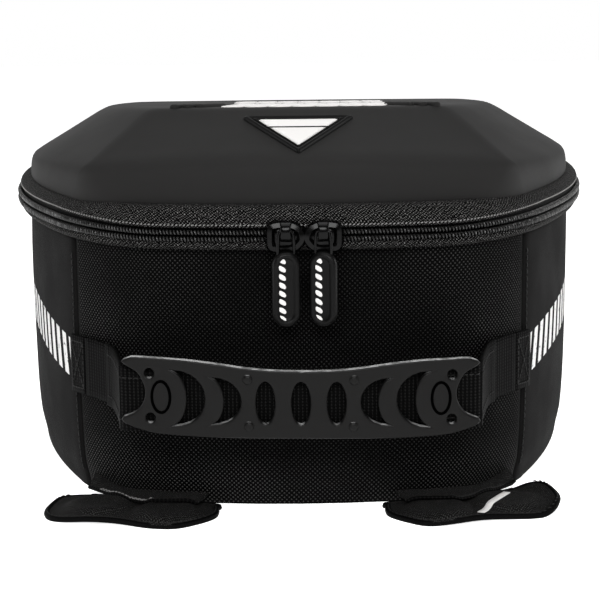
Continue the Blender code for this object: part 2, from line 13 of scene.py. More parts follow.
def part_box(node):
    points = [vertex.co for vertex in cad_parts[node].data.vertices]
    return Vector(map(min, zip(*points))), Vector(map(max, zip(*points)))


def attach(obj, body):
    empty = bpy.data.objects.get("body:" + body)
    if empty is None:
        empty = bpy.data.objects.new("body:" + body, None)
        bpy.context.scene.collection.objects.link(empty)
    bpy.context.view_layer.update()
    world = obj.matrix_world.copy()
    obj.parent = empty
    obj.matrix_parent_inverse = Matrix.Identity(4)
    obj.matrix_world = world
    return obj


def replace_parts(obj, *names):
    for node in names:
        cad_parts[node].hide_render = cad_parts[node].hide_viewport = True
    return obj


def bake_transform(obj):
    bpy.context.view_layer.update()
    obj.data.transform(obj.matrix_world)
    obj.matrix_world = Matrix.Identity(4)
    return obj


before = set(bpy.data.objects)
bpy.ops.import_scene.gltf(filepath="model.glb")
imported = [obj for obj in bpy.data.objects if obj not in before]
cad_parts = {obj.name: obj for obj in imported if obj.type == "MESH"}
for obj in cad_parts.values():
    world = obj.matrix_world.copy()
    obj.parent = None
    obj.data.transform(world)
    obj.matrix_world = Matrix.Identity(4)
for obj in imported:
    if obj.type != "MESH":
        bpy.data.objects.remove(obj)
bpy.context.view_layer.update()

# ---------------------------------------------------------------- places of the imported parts

COIL_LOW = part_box("upper_coil")[0]
PAD_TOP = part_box("base_pad")[1].z
CASE_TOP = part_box("front_panel")[1].z
SHELL_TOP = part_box("lid_shell")[1].z
GRIP_LOW, GRIP_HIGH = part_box("handle_grip")

FRONT_Y = COIL_LOW.y
ZIP_MIDDLE = COIL_LOW.z - 0.00015

# Plans: chains of tangent arcs from the front middle to the rear middle, by outward heading.
BAG_HEADINGS = (0.0, 11.0, 66.0, 99.0, 167.0, 180.0)
BAG_RADII = (0.320, 0.068, 0.430, 0.064)
LID_HEADINGS = (0.0, 20.0, 64.5, 68.5, 99.0, 167.0, 180.0)
LID_RADII = (0.258, 0.014, 0.540, 0.4225, 0.0565)
CROWN_HEADINGS = (0.0, 12.0, 56.0, 66.0, 99.0, 167.0, 180.0)
CROWN_RADII = (0.310, 0.010, 0.060, 0.300, 0.026)

CASE_INSET = 0.0065
LID_INSET = 0.0075
CROWN_SETBACK = 0.062
SHOULDER_HEIGHT = 0.1500
SHOULDER_FALL = 0.030
CROWN_FALL = 0.036
CROWN_TOP = SHELL_TOP + CROWN_FALL * CROWN_SETBACK

# Zip band levels, from the bottom up.
BAND_LOW = CASE_TOP + 0.0008
LOWER_TRIM_TOP = ZIP_MIDDLE - 0.0056
CHAIN_MIDDLE = ZIP_MIDDLE - 0.0032
UPPER_TRIM_LOW = ZIP_MIDDLE + 0.0003
UPPER_TRIM_TOP = ZIP_MIDDLE + 0.0100
ZIP_END_HEADING = 158.0
SIDE_RISE = 0.0044
SIDE_TUCK = 0.0020

# Headings of the side panels' seams, the webbing's sewn ends and the flaps.
SEAM_HEADING = 56.0
REAR_SEAM_HEADING = 135.0
HANDLE_HEADING = 46.0
FLAP_HEADING = 17.5
UPWARD = Vector((0.0, 0.0, 1.0))


# ---------------------------------------------------------------- plan outlines

def plan_arcs(headings, radii, front_y):
    """The chain as (start, end, radius, centre x, centre y); the last arc closes on X = 0."""
    arcs = []
    x = 0.0
    y = front_y
    for index, end in enumerate(headings[1:]):
        start = headings[index]
        radius = radii[index] if index < len(radii) else x / sin(radians(start))
        centre_x = x - radius * sin(radians(start))
        centre_y = y + radius * cos(radians(start))
        arcs.append((start, end, radius, centre_x, centre_y))
        x = centre_x + radius * sin(radians(end))
        y = centre_y - radius * cos(radians(end))
    return arcs


BAG = plan_arcs(BAG_HEADINGS, BAG_RADII, FRONT_Y)
LID = plan_arcs(LID_HEADINGS, LID_RADII, FRONT_Y + LID_INSET)
CROWN = plan_arcs(CROWN_HEADINGS, CROWN_RADII, FRONT_Y + CROWN_SETBACK)


def plan_point(arcs, heading, inset=0.0):
    """Point of the outline whose outward normal has this heading, moved inward by the inset."""
    turn = abs(heading)
    arc = next((arc for arc in arcs if turn <= arc[1]), arcs[-1])
    x = arc[3] + (arc[2] - inset) * sin(radians(turn))
    y = arc[4] - (arc[2] - inset) * cos(radians(turn))
    return Vector((x if heading >= 0.0 else -x, y, 0.0))


def outward(heading):
    """Unit vector out of the outline."""
    return Vector((sin(radians(heading)), -cos(radians(heading)), 0.0))


def along(heading):
    """Unit vector along the outline, towards larger headings."""
    return Vector((cos(radians(heading)), sin(radians(heading)), 0.0))


def bag_point(heading, inset, height):
    """A point at a height on the bag's outline, moved inward."""
    return plan_point(BAG, heading, inset) + Vector((0.0, 0.0, height))


def smooth_step(value, low, high):
    """0 below the low value, 1 above the high one, eased between."""
    share = min(1.0, max(0.0, (value - low) / (high - low)))
    return share * share * (3.0 - 2.0 * share)


def side_share(heading):
    """0 at the front and the rear of the bag, 1 along its sides."""
    return smooth_step(abs(heading), 6.0, 70.0) * (1.0 - smooth_step(abs(heading), 100.0, 145.0))


def zip_point(heading, inset, height):
    """A point of the zip band, whose line bows upward along the sides."""
    levels = (CASE_TOP - 0.012, CASE_TOP, LOWER_TRIM_TOP, CHAIN_MIDDLE, UPPER_TRIM_LOW + 0.0012,
              UPPER_TRIM_TOP)
    weights = (0.0, 0.50, 0.70, 0.85, 1.0, 0.0)
    rise = SIDE_RISE * side_share(heading) * np.interp(height, levels, weights)
    return bag_point(heading, inset, height + rise)


def arc_length(heading):
    """Signed length of the bag's outline from the front middle to a heading."""
    turn = abs(heading)
    total = sum(radians(max(0.0, min(turn, end) - start)) * radius
                for start, end, radius, _, _ in BAG)
    return total if heading >= 0.0 else -total


def heading_at(length):
    """Heading at a signed length from the front middle; the inverse of arc_length."""
    left = abs(length)
    turn = 180.0
    for start, end, radius, _, _ in BAG:
        span = radians(end - start) * radius
        if left <= span:
            turn = start + degrees(left / radius)
            break
        left -= span
    return turn if length >= 0.0 else -turn


def plan_run(start, stop, spacing):
    """Headings evenly spaced along the bag's outline, and their lengths from the front middle."""
    first = arc_length(start)
    last = arc_length(stop)
    count = max(2, ceil((last - first) / spacing))
    lengths = [first + (last - first) * step / count for step in range(count + 1)]
    return [heading_at(length) for length in lengths], lengths


def rear_run(start, spacing):
    """The same across the rear middle, from a heading on the right to its mirror on the left."""
    half, half_lengths = plan_run(start, 180.0, spacing)
    full = arc_length(180.0)
    return (half + [-heading for heading in half[-2::-1]],
            half_lengths + [2 * full - length for length in half_lengths[-2::-1]])


# ---------------------------------------------------------------- curves and meshes

def smooth_line(points, spacing, closed=False):
    """A Catmull-Rom curve through the points, sampled evenly."""
    pts = [np.array(point, float) for point in points]
    if closed:
        pts = [pts[-1]] + pts + [pts[0], pts[1]]
    else:
        pts = [2 * pts[0] - pts[1]] + pts + [2 * pts[-1] - pts[-2]]
    fine = []
    for a, b, c, d in zip(pts, pts[1:], pts[2:], pts[3:]):
        for step in range(16):
            t = step / 16
            fine.append(0.5 * (2 * b + (c - a) * t + (2 * a - 5 * b + 4 * c - d) * t * t
                               + (3 * b - a - 3 * c + d) * t ** 3))
    fine.append(pts[-2])
    return even_line(fine, spacing)


def line_lengths(points):
    """Distance along a line of points, at each of them."""
    pts = np.array([tuple(point) for point in points], float)
    steps = np.linalg.norm(np.diff(pts, axis=0), axis=1)
    return np.concatenate(([0.0], np.cumsum(steps)))


def resample(points, count):
    """The same line as this many evenly spaced points."""
    pts = np.array([tuple(point) for point in points], float)
    distance = line_lengths(pts)
    wanted = np.linspace(0.0, distance[-1], count)
    return np.stack([np.interp(wanted, distance, column) for column in pts.T], axis=1)


def even_line(points, spacing):
    """The same line with points about this far apart."""
    return resample(points, max(2, ceil(line_lengths(points)[-1] / spacing)) + 1)


def new_piece(name, data, body, material, slot=None):
    """A mesh as a scene object that rides on a body, with its look. The slot is not used."""
    piece = bpy.data.objects.new(name, data)
    bpy.context.scene.collection.objects.link(piece)
    data.materials.append(material)
    if body:
        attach(piece, body)
    return piece


def smooth(mesh, angle):
    """Smooth shading, with edges steeper than the angle kept sharp."""
    mesh.shade_smooth()
    mesh.set_sharp_from_angle(angle=radians(angle))
    return mesh


def built_mesh(name, verts, faces, angle, coordinates=None):
    """A smooth mesh, with a cloth coordinate in metres for each corner of each face."""
    mesh = bpy.data.meshes.new(name)
    mesh.from_pydata([tuple(point) for point in verts], [], faces)
    if coordinates:
        mesh.uv_layers.new(name="cloth").data.foreach_set("uv", coordinates)
    return smooth(mesh, angle)


def quads(rows, columns, base=0, joined_rows=False, joined_columns=True):
    """Faces between neighbouring rows of points."""
    faces = []
    for row in range(rows if joined_rows else rows - 1):
        low = base + row * columns
        high = base + (row + 1) % rows * columns
        for column in range(columns if joined_columns else columns - 1):
            after = (column + 1) % columns
            faces.append((low + column, low + after, high + after, high + column))
    return faces


def end_faces(rows, columns, base=0):
    """Faces that close the first and the last row of points."""
    last = base + (rows - 1) * columns
    return [tuple(range(base, base + columns))[::-1], tuple(range(last, last + columns))]


def grid_mesh(name, rows, across, up, closed=False):
    """A sheet of quads through rows of points, joined round when closed."""
    count = len(rows[0])
    coordinates = []
    for low, high in zip(up, up[1:]):
        for left, right in zip(across, across[1:]):
            coordinates += [left, low, right, low, right, high, left, high]
    faces = quads(len(rows), count, joined_columns=closed)
    return built_mesh(name, [point for row in rows for point in row], faces, 40.0, coordinates)


def sheet_piece(name, rows, across, up, body, material, slot, closed=False):
    """A piece made of one grid of quads."""
    return new_piece(name, grid_mesh(name, rows, across, up, closed), body, material, slot)


def thicken(piece, thickness, offset=-1.0):
    """Give a surface a thickness: inward for an offset of -1, outward for 1, both ways for 0."""
    shell = piece.modifiers.new("thickness", "SOLIDIFY")
    shell.thickness = thickness
    shell.offset = offset


def tube_mesh(name, lines, radius, sides=8, closed=False):
    """Round tubes along lines of points, with cloth coordinates along and round them."""
    verts, faces, coordinates = [], [], []
    for line in lines:
        pts = [Vector(point) for point in line]
        count = len(pts)
        base = len(verts)
        lengths = line_lengths(pts)
        side = None
        for index, point in enumerate(pts):
            before = pts[index - 1] if index or closed else point
            after = pts[(index + 1) % count] if index < count - 1 or closed else point
            tangent = (after - before).normalized()
            if side is None:
                side = tangent.orthogonal().normalized()
            side = (side - tangent * side.dot(tangent)).normalized()
            other = tangent.cross(side)
            for step in range(sides):
                turn = 2 * pi * step / sides
                verts.append(point + (side * cos(turn) + other * sin(turn)) * radius)
        for index in range(count if closed else count - 1):
            low = lengths[index]
            high = lengths[index + 1] if index < count - 1 else lengths[-1] + 0.001
            for step in range(sides):
                a = step / sides * 2 * pi * radius
                b = (step + 1) / sides * 2 * pi * radius
                coordinates += [low, a, low, b, high, b, high, a]
        faces += quads(count, sides, base, joined_rows=closed)
        if not closed:
            faces += end_faces(count, sides, base)
            coordinates += [0.0, 0.0] * (2 * sides)
    return built_mesh(name, verts, faces, 60.0, coordinates)


# A stitch's rings: place along its length, and share of its full thickness there.
STITCH_RINGS = ((-0.5, 0.35), (-0.34, 0.85), (0.0, 1.0), (0.34, 0.85), (0.5, 0.35))
STITCH_SIDES = 6


def stitches(name, seats, length, radius, body, material, slant=0.0):
    """Thread stitches, each a bead drawn out along its seam. A seat is (point, along, out)."""
    verts, faces = [], []
    for point, tangent, normal in seats:
        across = normal.cross(tangent).normalized()
        lie = (tangent * cos(slant) + across * sin(slant)).normalized()
        wide = normal.cross(lie).normalized()
        base = len(verts)
        for place, swell in STITCH_RINGS:
            lift = radius * (1.0 - 2.2 * abs(place)) * 0.6
            centre = point + lie * length * place + normal * lift
            for step in range(STITCH_SIDES):
                turn = 2 * pi * step / STITCH_SIDES
                verts.append(centre + (wide * cos(turn) + normal * sin(turn)) * radius * swell)
        faces += quads(len(STITCH_RINGS), STITCH_SIDES, base)
        faces += end_faces(len(STITCH_RINGS), STITCH_SIDES, base)
    new_piece(name, built_mesh(name, verts, faces, 70.0), body, material)


# ---------------------------------------------------------------- materials

class Nodes:
    """A node tree, with short calls for adding and linking its nodes."""

    def __init__(self, tree):
        self.tree = tree

    def add(self, kind, **values):
        node = self.tree.nodes.new(kind)
        for key, value in values.items():
            setattr(node, key, value)
        return node

    def link(self, source, target):
        self.tree.links.new(source, target)

    def feed(self, socket, value):
        if isinstance(value, bpy.types.NodeSocket):
            self.link(value, socket)
        else:
            socket.default_value = value

    def math(self, operation, a, b=0.0, c=0.0):
        node = self.add("ShaderNodeMath", operation=operation)
        for socket, value in zip(node.inputs, (a, b, c)):
            self.feed(socket, value)
        return node.outputs[0]


class Looks(Nodes):
    """A material's nodes, with short calls for the ones used here."""

    def __init__(self, name):
        self.material = bpy.data.materials.new(name)
        self.material.use_nodes = True
        super().__init__(self.material.node_tree)
        self.shader = self.tree.nodes["Principled BSDF"]

    def times(self, a, b):
        return self.math("MULTIPLY", a, b)

    def plus(self, a, b):
        return self.math("ADD", a, b)

    def scaled(self, value, factor, extra):
        """The value times the factor, plus the extra."""
        return self.math("MULTIPLY_ADD", value, factor, extra)

    def fit(self, value, low, high, to_low=0.0, to_high=1.0):
        """Smoothly map a range of values to another."""
        node = self.add("ShaderNodeMapRange", interpolation_type="SMOOTHSTEP")
        for key, part in (("Value", value), ("From Min", low), ("From Max", high),
                          ("To Min", to_low), ("To Max", to_high)):
            self.feed(node.inputs[key], part)
        return node.outputs["Result"]

    def cloth(self):
        """The cloth coordinates in metres, as separate sockets."""
        source = self.add("ShaderNodeUVMap", uv_map="cloth")
        parts = self.add("ShaderNodeSeparateXYZ")
        self.link(source.outputs["UV"], parts.inputs[0])
        return source.outputs["UV"], parts.outputs["X"], parts.outputs["Y"]

    def place(self):
        """The place in the scene, in metres."""
        return self.add("ShaderNodeTexCoord").outputs["Object"]

    def noise(self, vector, scale, detail=3.0, roughness=0.55):
        node = self.add("ShaderNodeTexNoise")
        self.link(vector, node.inputs["Vector"])
        node.inputs["Scale"].default_value = scale
        node.inputs["Detail"].default_value = detail
        node.inputs["Roughness"].default_value = roughness
        return node.outputs["Fac"]

    def wave(self, value, period):
        """Sine of a length, with this period."""
        return self.math("SINE", self.scaled(value, 2 * pi / period, 0.0))

    def drift(self, vector, scale, reach):
        """Slow wandering of yarns to both sides."""
        return self.times(self.math("SUBTRACT", self.noise(vector, scale, 2.0), 0.5), reach)

    def blend(self, factor, first, second):
        node = self.add("ShaderNodeMix", data_type="RGBA")
        self.feed(node.inputs[0], factor)
        self.feed(node.inputs[6], (*first, 1.0) if isinstance(first, tuple) else first)
        self.feed(node.inputs[7], (*second, 1.0) if isinstance(second, tuple) else second)
        return node.outputs[2]

    def bump(self, height, distance):
        node = self.add("ShaderNodeBump")
        node.inputs["Strength"].default_value = 1.0
        node.inputs["Distance"].default_value = distance
        self.link(height, node.inputs["Height"])
        return node.outputs["Normal"]

    def finish(self, color, roughness, normal=None, metallic=0.0, specular=0.5, sheen=0.0):
        self.feed(self.shader.inputs["Base Color"], color)
        self.feed(self.shader.inputs["Roughness"], roughness)
        self.shader.inputs["Metallic"].default_value = metallic
        self.shader.inputs["Specular IOR Level"].default_value = specular
        if sheen:
            self.shader.inputs["Sheen Weight"].default_value = sheen
            self.shader.inputs["Sheen Roughness"].default_value = 0.5
        if normal:
            self.link(normal, self.shader.inputs["Normal"])
        return self.material


def grey(value, warmth=0.02):
    """A grey that leans slightly to red."""
    return (value * (1.0 + warmth), value, value * (1.0 - warmth))


def ballistic_weave(name, dark, light, pitch, relief, roughness, specular):
    """Plain weave of thick yarn, with painted highlights on its yarn crowns, random patches, painted floor
    light towards the bottom and painted light towards the corners.
    """
    looks = Looks(name)
    vector, across, up = looks.cloth()
    drift = looks.drift(vector, 30.0, pitch * 2.5)
    a = looks.wave(looks.plus(across, drift), 2 * pitch)
    b = looks.wave(looks.plus(up, drift), 2 * pitch)
    crossing = looks.times(a, b)
    fray = looks.noise(vector, 2600.0, 2.0)
    # The yarn crowns are painted lighter: painted highlights.
    crown = looks.fit(looks.scaled(fray, 0.5, crossing), 0.40, 1.15)
    patch = looks.fit(looks.noise(vector, 22.0, 3.0), 0.30, 0.72, 0.32, 0.72)
    # Random patches, times painted floor light that makes the cloth up to 2.3 times brighter towards its
    # bottom.
    patchy_painted_light = looks.times(patch, looks.fit(up, 0.004, 0.034, 2.3, 1.0))
    # Painted light: the cloth is darker in the front middle and brighter towards the corners.
    painted_corner_light = looks.fit(looks.math("ABSOLUTE", across), 0.020, 0.095, 0.66, 1.14)
    shade = looks.times(crown, looks.times(patchy_painted_light, painted_corner_light))
    color = looks.blend(shade, grey(dark), grey(light))
    height = looks.scaled(fray, 0.25, looks.math("ABSOLUTE", crossing))
    height = looks.plus(height, looks.times(crossing, 0.5))
    rough = looks.fit(crown, 0.0, 1.0, roughness + 0.15, roughness)
    return looks.finish(color, rough, looks.bump(height, relief), specular=specular)


def satin_cloth(name, base, roughness, specular):
    """Smooth coated cloth with a fine twill and a printed row of plain bars."""
    looks = Looks(name)
    vector, across, up = looks.cloth()
    fine = looks.wave(looks.plus(across, up), 0.0007)
    grain = looks.noise(vector, 1400.0, 2.0)
    soft = looks.noise(vector, 26.0, 3.0)
    color = looks.blend(soft, grey(base * 0.8), grey(base * 1.25))
    rough = looks.fit(soft, 0.3, 0.7, roughness - 0.05, roughness + 0.07)
    height = looks.plus(looks.times(fine, 0.5), grain)
    mask = print_bars(looks, across, up)
    worn = looks.fit(looks.noise(vector, 420.0, 3.0), 0.28, 0.42)
    color = looks.blend(looks.times(mask, worn), color, grey(0.62, 0.005))
    return looks.finish(color, rough, looks.bump(height, 0.00006), specular=specular)


def yarn_cloth(looks, yarn, shine, fray, frayed, dark, light, relief, roughness, specular):
    """Finish a cloth from its yarns' crowns and the fray on them."""
    shade = looks.times(yarn, shine)
    color = looks.blend(shade, grey(dark), grey(light))
    height = looks.scaled(fray, frayed, yarn)
    return looks.finish(color, roughness, looks.bump(height, relief), specular=specular)


def band_weave(name, dark, light, pitch, specular, relief=0.00022):
    """Coarse twill ribbon: slanted yarns, each broken where it dives under."""
    looks = Looks(name)
    vector, across, up = looks.cloth()
    drift = looks.drift(vector, 420.0, pitch * 2.2)
    slanted = looks.wave(looks.plus(looks.scaled(up, 1.15, across), drift), pitch)
    broken = looks.wave(looks.plus(looks.scaled(across, -0.9, up), drift), pitch * 1.2)
    fray = looks.noise(vector, 1500.0, 2.0)
    yarn = looks.fit(looks.scaled(broken, 0.85, slanted), -0.1, 1.6)
    shine = looks.fit(fray, 0.36, 0.66, 0.20, 1.0)
    return yarn_cloth(looks, yarn, shine, fray, 0.35, dark, light, relief, 0.62, specular)


def ribbed_webbing(name, dark, light, rib=0.0017):
    """Webbing whose ribs run across its length."""
    looks = Looks(name)
    vector, across, up = looks.cloth()
    ribs = looks.wave(across, rib)
    cross = looks.wave(up, rib * 0.8)
    fray = looks.noise(vector, 2400.0, 2.0)
    yarn = looks.fit(looks.scaled(cross, 0.55, ribs), 0.0, 1.5)
    shine = looks.fit(fray, 0.25, 0.75, 0.4, 1.0)
    return yarn_cloth(looks, yarn, shine, fray, 0.3, dark, light, 0.0003, 0.6, 0.03)


def moulded(name, base, roughness, grain, relief, specular=0.45, spread=0.15, patchy_painted_light=0.0):
    """Moulded foam or rubber: fine grain, faint clouds, lighter scuffs and, if asked, painted highlights on
    upward-facing edges.
    """
    looks = Looks(name)
    vector = looks.place()
    fine = looks.noise(vector, grain, 3.0)
    cloud = looks.noise(vector, 24.0, 3.0)
    scuff = looks.fit(looks.noise(vector, 90.0, 6.0, 0.7), 0.60, 0.80)
    color = looks.blend(cloud, grey(base * (1.0 - spread)), grey(base * (1.0 + spread)))
    color = looks.blend(looks.times(scuff, 0.25), color, grey(base * 2.0))
    # Painted highlight: faces turned upward are mixed towards a paler grey, broken by noise.
    if patchy_painted_light:
        parts = looks.add("ShaderNodeSeparateXYZ")
        looks.link(looks.add("ShaderNodeTexCoord").outputs["Normal"], parts.inputs[0])
        upward = looks.fit(parts.outputs["Z"], 0.70, 1.0)
        broken = looks.fit(looks.noise(vector, 260.0, 3.0), 0.38, 0.60, 0.35, 1.0)
        color = looks.blend(looks.times(upward, broken), color, grey(patchy_painted_light, 0.0))
    cloudy = looks.fit(cloud, 0.3, 0.7, roughness - 0.03, roughness + 0.03)
    rough = looks.scaled(scuff, 0.10, cloudy)
    return looks.finish(color, rough, looks.bump(fine, relief), specular=specular)


def enamelled(name, base, roughness=0.2, metallic=0.0):
    """Metal or baked paint with small worn spots."""
    looks = Looks(name)
    vector = looks.place()
    peel = looks.noise(vector, 700.0, 2.0)
    wear = looks.fit(looks.noise(vector, 320.0, 5.0, 0.65), 0.62, 0.74)
    color = looks.blend(looks.times(wear, 0.5), grey(base), grey(0.02))
    rough = looks.fit(wear, 0.0, 1.0, roughness, roughness + 0.15)
    return looks.finish(color, rough, looks.bump(peel, 0.00003), metallic=metallic, specular=0.12)


def thread(name, base):
    """Twisted sewing thread."""
    looks = Looks(name)
    ply = looks.noise(looks.place(), 3200.0, 2.0)
    color = looks.blend(ply, grey(base * 0.6), grey(base * 1.3))
    return looks.finish(color, 0.55, looks.bump(ply, 0.00008), specular=0.15)


def lining_cloth(name, base):
    """Thin matt cloth over foam."""
    looks = Looks(name)
    vector, across, up = looks.cloth()
    threads = looks.times(looks.wave(across, 0.0009), looks.wave(up, 0.0009))
    soft = looks.noise(vector, 30.0, 3.0)
    shade = looks.scaled(threads, 0.2, soft)
    color = looks.blend(shade, grey(base * 0.75), grey(base * 1.25))
    rough = looks.fit(soft, 0.3, 0.7, 0.7, 0.82)
    return looks.finish(color, rough, looks.bump(threads, 0.0001), sheen=0.1)


def print_bars(looks, across, up):
    """A row of plain slanted strokes along the side, where the cloth is printed."""
    reach = looks.math("SUBTRACT", looks.math("ABSOLUTE", across), STROKES_START)
    slant = looks.scaled(up, -STROKE_LEAN, reach)
    phase = looks.math("FRACT", looks.math("DIVIDE", slant, STROKE_PITCH))
    inside = looks.math("LESS_THAN", phase, STROKE_SHARE)
    near = looks.math("GREATER_THAN", reach, 0.0)
    far = looks.math("LESS_THAN", reach, STROKES_LENGTH)
    level = looks.scaled(reach, -STROKES_RISE, up)
    low = looks.math("GREATER_THAN", level, STROKES_LOW)
    high = looks.math("LESS_THAN", level, STROKES_HIGH)
    row = looks.times(looks.times(near, far), looks.times(low, high))
    return looks.times(inside, row)


# The row of plain strokes printed on each side panel, in cloth coordinates.
STROKES_START = arc_length(SEAM_HEADING) + 0.0030
STROKES_LENGTH = 0.1180
STROKES_LOW = 0.0490
STROKES_HIGH = 0.0672
STROKES_RISE = 0.11
STROKE_PITCH = 0.0104
STROKE_LEAN = 0.20
STROKE_SHARE = 0.56

FRONT_CLOTH = ballistic_weave("ballistic_nylon_look", 0.0004, 0.044, 0.00105, 0.00018, 0.62, 0.03)
SIDE_CLOTH = satin_cloth("side_cloth_look", 0.0044, 0.70, 0.02)
TRIM = band_weave("band_weave_look", 0.0010, 0.140, 0.0013, 0.01)
ZIP_TAPE = band_weave("zip_tape_look", 0.0005, 0.004, 0.0010, 0.04, 0.0001)
COIL = moulded("zip_coil_look", 0.0150, 0.30, 4000.0, 0.00002, 0.40)
SHELL = moulded("eva_shell_look", 0.0122, 0.62, 1900.0, 0.00004, 0.07, spread=0.06)
THREAD = thread("thread_look", 0.170)
DARK_THREAD = thread("dark_thread_look", 0.010)
LINING = lining_cloth("lining_look", 0.030)
WEBBING = ribbed_webbing("webbing_look", 0.0003, 0.013)
# The grip's upward-facing edges carry a painted highlight.
RUBBER = moulded("grip_rubber_look", 0.0060, 0.36, 1600.0, 0.00004, 0.08, patchy_painted_light=0.34)
PULL_RUBBER = moulded("pull_rubber_look", 0.0022, 0.40, 2500.0, 0.00003, 0.10)
BADGE_RUBBER = moulded("badge_rubber_look", 0.0010, 0.42, 2500.0, 0.00002, 0.08)
# Near black and without reflection: painted shade for the grooves round the grip's rings.
PAINTED_GROOVE_SHADE = moulded("painted_groove_shade_look", 0.0004, 0.90, 2500.0, 0.00002, 0.0)
PRINT = moulded("print_look", 0.62, 0.55, 2500.0, 0.00002, spread=0.03)
PAD_RUBBER = moulded("pad_rubber_look", 0.0020, 0.85, 500.0, 0.00025, 0.02)
FOAM = moulded("foam_look", 0.080, 0.90, 1200.0, 0.00015)
ENAMEL = enamelled("slider_metal_look", 0.0008)
STEEL = enamelled("magnet_look", 0.45, 0.3, 1.0)
FLAP_CLOTH = band_weave("flap_cloth_look", 0.0030, 0.060, 0.0012, 0.02, 0.00012)


# ---------------------------------------------------------------- camera and light

CAMERA_LENS = 102.0
CAMERA_DISTANCE = 0.7039
CAMERA_HEIGHT = 0.2120
CAMERA_FALL = 9.68
CAMERA_ROLL = -0.6


def look_camera():
    data = bpy.data.cameras.new("camera")
    data.lens = CAMERA_LENS
    data.sensor_width = 36.0
    data.clip_start = 0.01
    camera = bpy.data.objects.new("camera", data)
    bpy.context.scene.collection.objects.link(camera)
    place = Matrix.Translation((0.0, FRONT_Y - CAMERA_DISTANCE, CAMERA_HEIGHT))
    pitch = Matrix.Rotation(radians(90.0 - CAMERA_FALL), 4, "X")
    camera.matrix_world = place @ pitch @ Matrix.Rotation(radians(CAMERA_ROLL), 4, "Z")
    bpy.context.scene.camera = camera


# Brightness of the surroundings by direction, from straight in front of the bag to behind it.
WORLD_LEVELS = ((0.0, 0.10), (0.45, 0.14), (0.70, 0.28), (0.88, 0.50), (0.955, 1.0), (1.0, 1.0))
# Area lights aimed at the bag: name, place, size, power.
LIGHTS = (
    ("top", (0.0, -0.10, 1.30), (1.1, 1.1), 10.0),
    ("left", (-1.25, 0.05, 0.38), (0.5, 0.7), 5.4),
    ("right", (1.25, 0.05, 0.38), (0.5, 0.7), 8.25),
    ("front", (0.0, -1.6, 1.0), (1.2, 0.5), 27.0),
)
LIGHT_TARGET = Vector((0.0, 0.0, 0.10))
# The floor is a lit white table, as in a catalogue picture.
FLOOR_GLOW = 0.80
FLOOR_REACH = 6.0


def area_light(name, place, size, power):
    """A soft light aimed at the bag."""
    data = bpy.data.lights.new(name, "AREA")
    data.shape = "RECTANGLE"
    data.size, data.size_y = size
    data.energy = power
    light = bpy.data.objects.new(name, data)
    bpy.context.scene.collection.objects.link(light)
    light.location = place
    light.rotation_euler = (LIGHT_TARGET - Vector(place)).to_track_quat("-Z", "Y").to_euler()


def make_studio():
    """Camera, surroundings, lights and the white floor."""
    look_camera()
    world = bpy.data.worlds.new("studio")
    bpy.context.scene.world = world
    world.use_nodes = True
    nodes = Nodes(world.node_tree)
    direction = nodes.add("ShaderNodeTexCoord")
    parts = nodes.add("ShaderNodeSeparateXYZ")
    nodes.link(direction.outputs["Generated"], parts.inputs[0])
    place = nodes.math("MULTIPLY_ADD", parts.outputs["Y"], 0.5, 0.5)
    ramp = nodes.add("ShaderNodeValToRGB")
    nodes.link(place, ramp.inputs["Fac"])
    stops = ramp.color_ramp.elements
    for stop, (position, level) in zip(stops, (WORLD_LEVELS[0], WORLD_LEVELS[-1])):
        stop.position, stop.color = position, (*grey(level, 0.0), 1.0)
    for position, level in WORLD_LEVELS[1:-1]:
        stops.new(position).color = (*grey(level, 0.0), 1.0)
    nodes.link(ramp.outputs["Color"], nodes.tree.nodes["Background"].inputs["Color"])
    bpy.context.scene.view_settings.view_transform = "Standard"

    for light in LIGHTS:
        area_light(*light)

    floor = bpy.data.meshes.new("floor")
    corners = [(x * FLOOR_REACH, y * FLOOR_REACH, 0.0) for x, y in ((-1, -1), (1, -1), (1, 1), (-1, 1))]
    floor.from_pydata(corners, [], [(0, 1, 2, 3)])
    looks = Looks("floor_look")
    mottle = looks.noise(looks.place(), 3.0)
    material = looks.finish(looks.blend(mottle, grey(0.80, 0.0), grey(0.84, 0.0)), 0.8, specular=0.2)
    looks.shader.inputs["Emission Color"].default_value = (1.0, 1.0, 1.0, 1.0)
    looks.shader.inputs["Emission Strength"].default_value = FLOOR_GLOW
    new_piece("floor", floor, None, material)


# ---------------------------------------------------------------- case

def ripple(across, up):
    """Slow unevenness of stretched cloth, from -1 to 1."""
    return (0.50 * sin(41.0 * across + 1.1) * sin(38.0 * up + 0.7)
            + 0.30 * sin(73.0 * across - 29.0 * up + 2.0)
            + 0.20 * sin(17.0 * across + 66.0 * up))


def edge_fade(value, low, high, reach):
    """0 at both ends of a range, rising to 1 within the reach."""
    return smooth_step(min(value - low, high - value), 0.0, reach)


# Spacing of the cloth's columns round the bag.
CLOTH_STEP = 0.0035
# The wall cloth: thickness, height of its unevenness, and how deep its side edges turn in.
WALL_THICKNESS = 0.0011
WALL_WAVE = 0.0005
WALL_TURN = 0.0009
# The wall from the ground up, as (inset, height).
CASE_PROFILE = smooth_line((
    (0.0107, 0.0006), (0.0103, PAD_TOP), (0.0094, 0.0075), (0.0080, 0.0135),
    (0.0070, 0.0300), (0.0066, 0.0600), (0.0066, 0.0900), (0.0066, CASE_TOP + 0.0036)), 0.0030)


